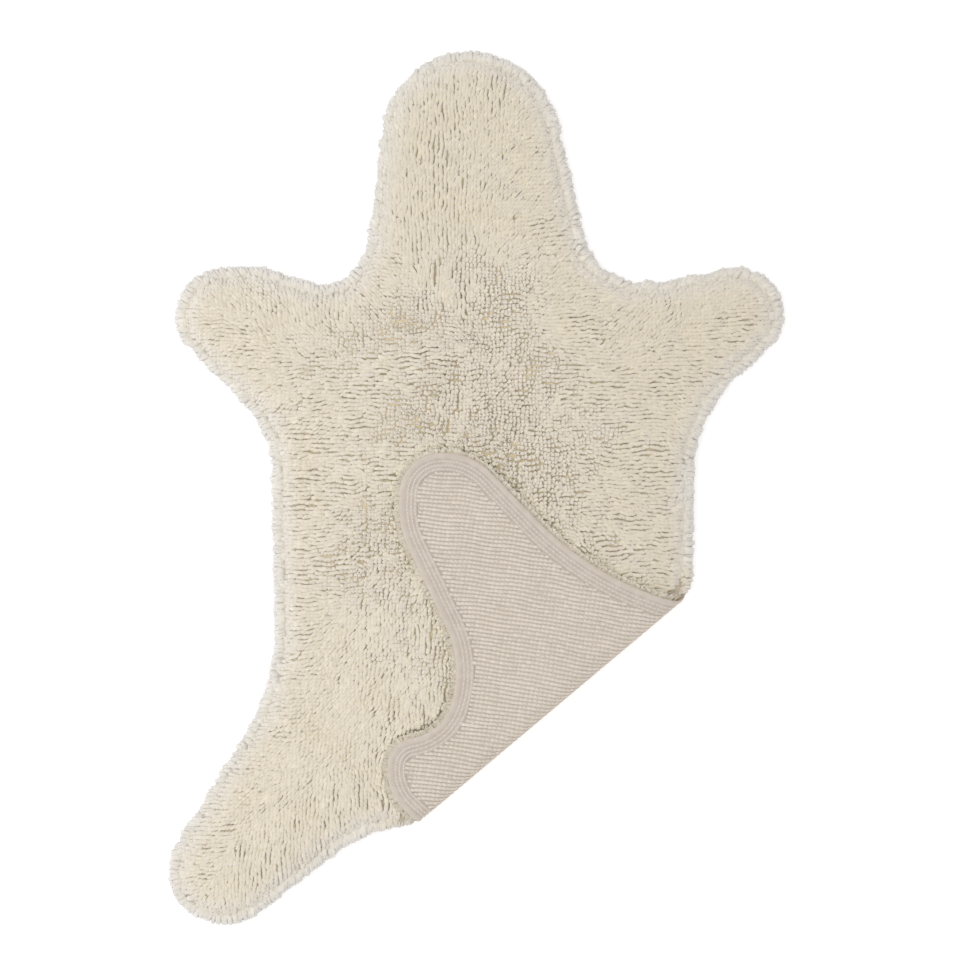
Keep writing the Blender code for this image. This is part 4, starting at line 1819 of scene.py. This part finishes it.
        flatter = (1.0 - (make.lying_flatter + soft / 2) * lying) * (1.0 - taper * lying)
        second = np.cross(course, across) * girth * flatter
        return Strands(centres[:, :-1], first[:, :-1], second[:, :-1], centres[:, -1])

    def piece(self, name: str, make: YarnMake, tufts: Tufts) -> bpy.types.Object:
        """Bend one lot of yarns and join them in a mesh.

        Args:
            name: The object's name.
            make: The kind of yarn.
            tufts: Where the yarns stand.

        Returns:
            The object. It carries how far along its yarn each point lies, the yarn's own tint,
            and how near the point is to the cut edge and to the folded leg.
        """
        seed = self.seed + len(tufts.roots)
        strands = self.strands(make, tufts, seed)
        count, rings = strands.centres.shape[:2]
        points = strands.points(make.sides).reshape(-1, 3)
        points[:, 2] = np.maximum(points[:, 2], self.lowest)
        each = rings * make.sides + 1
        tints = np.random.default_rng(seed + 1).normal(0.0, TINT_SPREAD, count)
        along = np.append(np.repeat(make.stations, make.sides), 1.0)
        values = {
            "along": np.tile(along, count),
            "tint": np.repeat(tints, each),
            # painted rim light and wear, then painted shade beside the folded leg
            "worn": self.pelt.light_and_wear(points[:, :2]),
            "sheltered": self.pelt.sheltered(points[:, :2]),
        }
        faces = Strands.faces(count, rings, make.sides)
        places = self.pelt.laid(points[:, :2], points[:, 2])
        return mesh_object(name, places, faces, values, make.uv(count))

    def build(self) -> list[bpy.types.Object]:
        """Make the pile.

        Returns:
            An object for each area, and one for the fringe that hangs over the rim.
        """
        material = WoolYarn().material()
        yarns = self._open()
        areas = Area.of(self.pelt, yarns.roots)
        pieces = [
            self.piece(area.value, self.field, yarns.picked(areas == number))
            for number, area in enumerate(Area)
        ]
        fringe = Tufts.joined([self._rim_row(row) for row in RIM_ROWS])
        pieces.append(self.piece("pile_fringe", self.fringe, fringe))
        return [fitted(piece, material, ("pile_cloth",)) for piece in pieces]


@dataclass(frozen=True)
class Lozenges:
    """Short soft yarns or stitches that lie on the cloth, thickest in the middle."""

    half_length: float
    half_width: float
    half_height: float
    sides: int = 5
    stations: tuple[float, ...] = (-0.72, 0.0, 0.72)
    girth: tuple[float, ...] = (0.70, 1.0, 0.70)
    blunt: float = 0.05  # girth of the near end
    bowed: float = 0.5  # half heights that the ends lie deeper than the middle
    size_spread: float = 0.06

    def build(
        self,
        name: str,
        pelt: Pelt,
        places: np.ndarray,
        ahead: np.ndarray,
        heights: np.ndarray,
        seed: int,
        dive: float = 0.0,
    ) -> bpy.types.Object:
        """Lay one lozenge at each place.

        Each is a tube whose rings are ellipses, all but closed at the near end and with a point
        at the far end. Its middle line bows by the square of the way from the middle.

        Args:
            name: The object's name.
            pelt: The rug's shape.
            places: The middles, on the pattern.
            ahead: The way that each lies, of length one.
            heights: Of the middles above the woven side.
            seed: For the uneven sizes.
            dive: How much deeper into the cloth the far end lies than the near one.

        Returns:
            The object.
        """
        random = np.random.default_rng(seed)
        count = len(places)
        scale = 1.0 + random.normal(0.0, self.size_spread, (count, 1))
        stations = np.array((-1.0, *self.stations))
        shares = np.array((self.blunt, *self.girth))
        course, side = (np.pad(way, ((0, 0), (0, 1))) for way in (ahead, left_of(ahead)))
        upward = np.array((0.0, 0.0, 1.0))
        middle = np.concatenate((places, heights[:, None]), axis=1)
        along = (scale * stations * self.half_length)[..., None] * course[:, None, :]
        bow = self.bowed * self.half_height
        sink = stations**2 * bow + dive * stations / 2
        centres = middle[:, None, :] + along + sink[None, :, None] * upward
        wide = (scale * shares * self.half_width)[..., None] * side[:, None, :]
        high = np.broadcast_to((shares * self.half_height)[:, None] * upward, centres.shape)
        tips = middle + scale * self.half_length * course + (bow + dive / 2) * upward
        strands = Strands(centres, wide, high, tips)
        points = strands.points(self.sides).reshape(-1, 3)
        rings = len(stations)
        run = np.append(np.repeat((stations + 1.0) / 2.0, self.sides), 1.0)
        values = {
            "along": np.tile(run, count),
            "tint": np.repeat(random.normal(0.0, TINT_SPREAD, count), rings * self.sides + 1),
        }
        faces = Strands.faces(count, rings, self.sides)
        return mesh_object(name, pelt.laid(points[:, :2], points[:, 2]), faces, values)


@dataclass(frozen=True)
class WeftFloats:
    """The floats of the woven back on the folded leg: ribs of short yarns, in step."""

    pelt: Pelt
    rib_pitch: float = 5.2
    float_pitch: float = 5.55
    last: float = 440.0  # along, past which no float can show
    yaw: float = math.radians(7.0)
    yaw_spread: float = 0.05
    height: float = 0.72
    inner_edge: float = 24.0  # depth at which the tape ends
    before_bend: float = 12.0
    bow: float = 0.00026  # of the ribs towards the toes, by the square of the way
    bow_start: float = 250.0
    wander: float = 0.5
    wander_length: float = 60.0
    ragged: float = 0.14
    dive: float = 0.3
    seed: int = 505
    shape: Lozenges = Lozenges(3.6, 2.5, 0.62, girth=(0.9, 1.0, 0.9))

    def build(self) -> bpy.types.Object:
        """Lay the floats in ribs that run along the rug and bow a little towards the toes.

        Returns:
            The floats, fitted to the frame.
        """
        random = np.random.default_rng(self.seed)
        low, high = self.pelt.edge.line.min(axis=0), self.pelt.edge.line.max(axis=0)
        ribs = np.arange(math.floor(low[0] / self.rib_pitch), high[0] / self.rib_pitch)
        floats = np.arange(math.floor(low[1] / self.float_pitch), self.last / self.float_pitch)
        rib, run = (grid.ravel() for grid in np.meshgrid(ribs, floats))
        along = run * self.float_pitch
        bowed = self.bow * np.maximum(self.bow_start - along, 0.0) ** 2
        places = np.stack((rib * self.rib_pitch - bowed, along), axis=1)
        places += self.wander * wandering(places, self.wander_length, seed=81)
        places += random.normal(0.0, self.ragged, places.shape)
        folded = self.pelt.fold.past(places) > -self.before_bend
        shown = (self.pelt.depth(places) > self.inner_edge) & folded
        places = places[shown]
        bend = 2 * self.bow * np.maximum(self.bow_start - along[shown], 0.0)
        spread = random.normal(0.0, self.yaw_spread, len(places))
        angle = math.pi / 2 + self.yaw - bend + spread
        ahead = np.stack((np.cos(angle), np.sin(angle)), axis=1)
        heights = np.full(len(places), self.height)
        made = self.shape.build(
            "weft_floats", self.pelt, places, ahead, heights, self.seed + 1, self.dive
        )
        return fitted(made, WeftYarn().material(), ("pile_cloth",))


@dataclass(frozen=True)
class EdgeTape:
    """The tape round the cut edge: a roll at the rim, then ridges between the stitch rows."""

    pelt: Pelt
    pitch: float = 4.0
    roll_half_width: float = 3.7
    roll_half_height: float = 1.72
    roll_middle: float = 1.78
    inner_face: float = 1.3
    inner_edge: float = 23.6
    ridges: tuple[float, ...] = (10.6, 15.6, 20.6)  # depths inside the edge
    ridge_pitch: float = 5.0
    ridge_points: int = 6
    ridge_top: float = 0.30  # height at the crests, which face away from the cloth
    ridge_depth: float = 0.55
    first_face: float = 8.2
    groove: tuple[float, float] = (7.6, 1.0)  # between the roll and the face
    back: tuple[float, ...] = (9.0, 17.0)  # depths of the points on the cloth's side
    roll_angles: tuple[float, float, float] = (-38.0, -322.0, -31.5)  # first, last and step
    roll_raised: float = 0.85
    tangent: float = 6.0  # reach over which the edge's direction is taken

    def profile(self) -> tuple[np.ndarray, np.ndarray]:
        """The section's closed line, as (depth, height) points, and how raised each point is.

        The roll is an ellipse from its groove right round to the cloth. The face is a row of
        cosine ridges.

        Returns:
            The points in order round the section, and 0 in a groove to 1 on a ridge.
        """
        angles = np.radians(np.arange(*self.roll_angles))
        roll = np.stack(
            (
                self.roll_half_width * (1.0 + np.cos(angles)),
                self.roll_middle + self.roll_half_height * np.sin(angles),
            ),
            axis=1,
        )
        back = np.array([(depth, self.inner_face) for depth in (*self.back, self.inner_edge)])
        depth = np.arange(self.inner_edge, self.first_face, -self.ridge_pitch / self.ridge_points)
        wave = 0.5 + 0.5 * np.cos(TURN * (depth - self.ridges[0]) / self.ridge_pitch)
        face = np.stack((depth, self.ridge_top + self.ridge_depth * (1.0 - wave)), axis=1)
        on_roll, on_back = np.full(len(roll), self.roll_raised), np.zeros(len(back))
        raised = np.concatenate((on_roll, on_back, wave, (0.0,)))
        return np.concatenate((roll, back, face, (self.groove,))), raised

    def build(self) -> bpy.types.Object:
        """Carry the section round the cut edge and close it.

        Returns:
            The tape, fitted to the frame, with the way along it and round its section as UV map.
        """
        section, raised = self.profile()
        where = self.pelt.edge.even(self.pitch)
        edge, inward = self.pelt.edge.at(where), self.pelt.edge.inward(where, self.tangent)
        count, width = len(where), len(section)
        flat = edge[:, None, :] + section[None, :, :1] * inward[:, None, :]
        heights = np.broadcast_to(section[:, 1], (count, width))
        points = self.pelt.laid(flat.reshape(-1, 2), heights.ravel())
        station, corner = np.meshgrid(np.arange(count), np.arange(width), indexing="ij")
        after, following = (station + 1) % count, (corner + 1) % width
        faces = np.stack(
            (
                station * width + corner,
                after * width + corner,
                after * width + following,
                station * width + following,
            ),
            axis=-1,
        ).reshape(-1, 4)
        run = np.append(where, self.pelt.edge.length) * MM
        sides = np.linalg.norm(np.roll(section, -1, axis=0) - section, axis=1)
        around = np.append(0.0, np.cumsum(sides)) * MM
        uv = np.stack(
            (
                np.stack([run[station + i] for i in (0, 1, 1, 0)], axis=-1),
                np.stack([around[corner + i] for i in (0, 0, 1, 1)], axis=-1),
            ),
            axis=-1,
        )
        # how raised each point is, for the tape's painted shade in the grooves
        values = {"raised": np.tile(raised, count)}
        tape = mesh_object("edge_tape", points, [faces], values, uv.reshape(-1, 2))
        return fitted(tape, BindingTape().material(), ("edge_binding",))


@dataclass(frozen=True)
class TapeStitches:
    """The rows of stitches that hold the tape, one along each ridge."""

    tape: EdgeTape  # that they hold
    pitch: float = 5.4
    row_shift: float = 0.31  # of a row against the next, in pitches
    height: float = 0.36
    wander: float = 0.24
    seed: int = 707
    shape: Lozenges = Lozenges(1.9, 0.95, 0.34, 4, (-0.5, 0.5), (0.95, 0.95))

    def build(self) -> bpy.types.Object:
        """Lay the stitches end to end along the ridges.

        Returns:
            The stitches, fitted to the frame.
        """
        random = np.random.default_rng(self.seed)
        places, ahead = [], []
        for row, depth in enumerate(self.tape.ridges):
            where = self.tape.pelt.edge.even(self.pitch, start=self.row_shift * row)
            inward = self.tape.pelt.edge.inward(where, self.tape.tangent)
            places.append(self.tape.pelt.edge.at(where) + depth * inward)
            ahead.append(left_of(inward))
        places, ahead = np.concatenate(places), np.concatenate(ahead)
        places = places + random.normal(0.0, self.wander, places.shape)
        heights = np.full(len(places), self.height)
        made = self.shape.build(
            "tape_stitches", self.tape.pelt, places, ahead, heights, self.seed + 1
        )
        return fitted(made, SewingThread().material())


# THE STUDIO


@dataclass(frozen=True)
class Studio:
    """A white floor, soft light from the left and all round, and a camera straight above."""

    image_size: float = 960.0
    pixel: float = 1.26 * MM  # on the rug
    box_middle: tuple[float, float] = (475.65, 488.0)  # of the rug, in the image's pixels
    lens: float = 100.0
    sensor: float = 36.0
    pile_level: float = 0.02  # at which a pixel has that size
    floor_reach: float = 20.0
    floor_points: int = 25  # along each side of the floor
    floor_level: float = -0.0004
    key_power: float = 11.2
    key_place: tuple[float, float, float] = (-1.25, 0.12, 1.35)
    key_size: tuple[float, float] = (1.5, 2.4)
    key_colour: Colour = (0.95, 0.98, 1.0)
    world_strength: float = 0.775
    world_colour: Colour = (1.0, 0.993, 0.98)

    def floor(self) -> bpy.types.Object:
        """A wide white floor, just under the rug.

        Returns:
            The floor.
        """
        grid = np.linspace(-self.floor_reach, self.floor_reach, self.floor_points)
        flat = np.stack(np.meshgrid(grid, grid), axis=-1).reshape(-1, 2)
        points = np.concatenate((flat, np.full((len(flat), 1), self.floor_level)), axis=1)
        cells = grid_cells(self.floor_points, self.floor_points)
        floor = mesh_object("floor", points, [cells.reshape(-1, 4)])
        floor.data.materials.append(PaleFloor().material())
        return floor

    def light(self) -> None:
        """A large soft light on the left, turned to the rug, and an even white sky."""
        world = bpy.data.worlds.new("white_studio")
        world.use_nodes = True
        sky = world.node_tree.nodes["Background"]
        sky.inputs["Color"].default_value = (*self.world_colour, 1.0)
        sky.inputs["Strength"].default_value = self.world_strength
        bpy.context.scene.world = world
        lamp = bpy.data.lights.new("softbox", "AREA")
        lamp.shape = "RECTANGLE"
        lamp.size, lamp.size_y = self.key_size
        lamp.energy = self.key_power
        lamp.color = self.key_colour
        softbox = bpy.data.objects.new("softbox", lamp)
        softbox.location = self.key_place
        softbox.rotation_euler = (0.0, math.atan2(self.key_place[0], self.key_place[2]), 0.0)
        bpy.context.scene.collection.objects.link(softbox)

    def camera(self) -> None:
        """Straight down, at the distance where a pixel of the image covers its size on the pile."""
        middle = [
            (self.image_size / 2 - self.box_middle[0]) * self.pixel,
            (self.box_middle[1] - self.image_size / 2) * self.pixel,
        ]
        away = self.image_size * self.pixel * self.lens / self.sensor
        data = bpy.data.cameras.new("camera")
        data.lens, data.sensor_width = self.lens, self.sensor
        camera = bpy.data.objects.new("camera", data)
        camera.location = (*middle, self.pile_level + away)
        bpy.context.scene.collection.objects.link(camera)
        bpy.context.scene.camera = camera
        bpy.context.scene.view_settings.view_transform = "Standard"


def main() -> None:
    """Set up the studio, build the rug's pieces in order, and report them."""
    logging.basicConfig(level=logging.INFO, format="%(name)s: %(message)s")
    studio = Studio()
    studio.camera()
    studio.light()
    floor = studio.floor()
    pelt = Pelt()
    LOG.info("cut edge: %.2f m round", pelt.edge.length * MM)
    ground = Ground(pelt)
    sheet = ground.build()
    tape = EdgeTape(pelt)
    pieces = [
        DeepWool(pelt).build(),
        *Pile(pelt).build(),
        WeftFloats(pelt).build(),
        tape.build(),
        TapeStitches(tape).build(),
    ]
    for piece in (sheet, *pieces):
        report(piece)


if __name__ == "__main__":
    main()
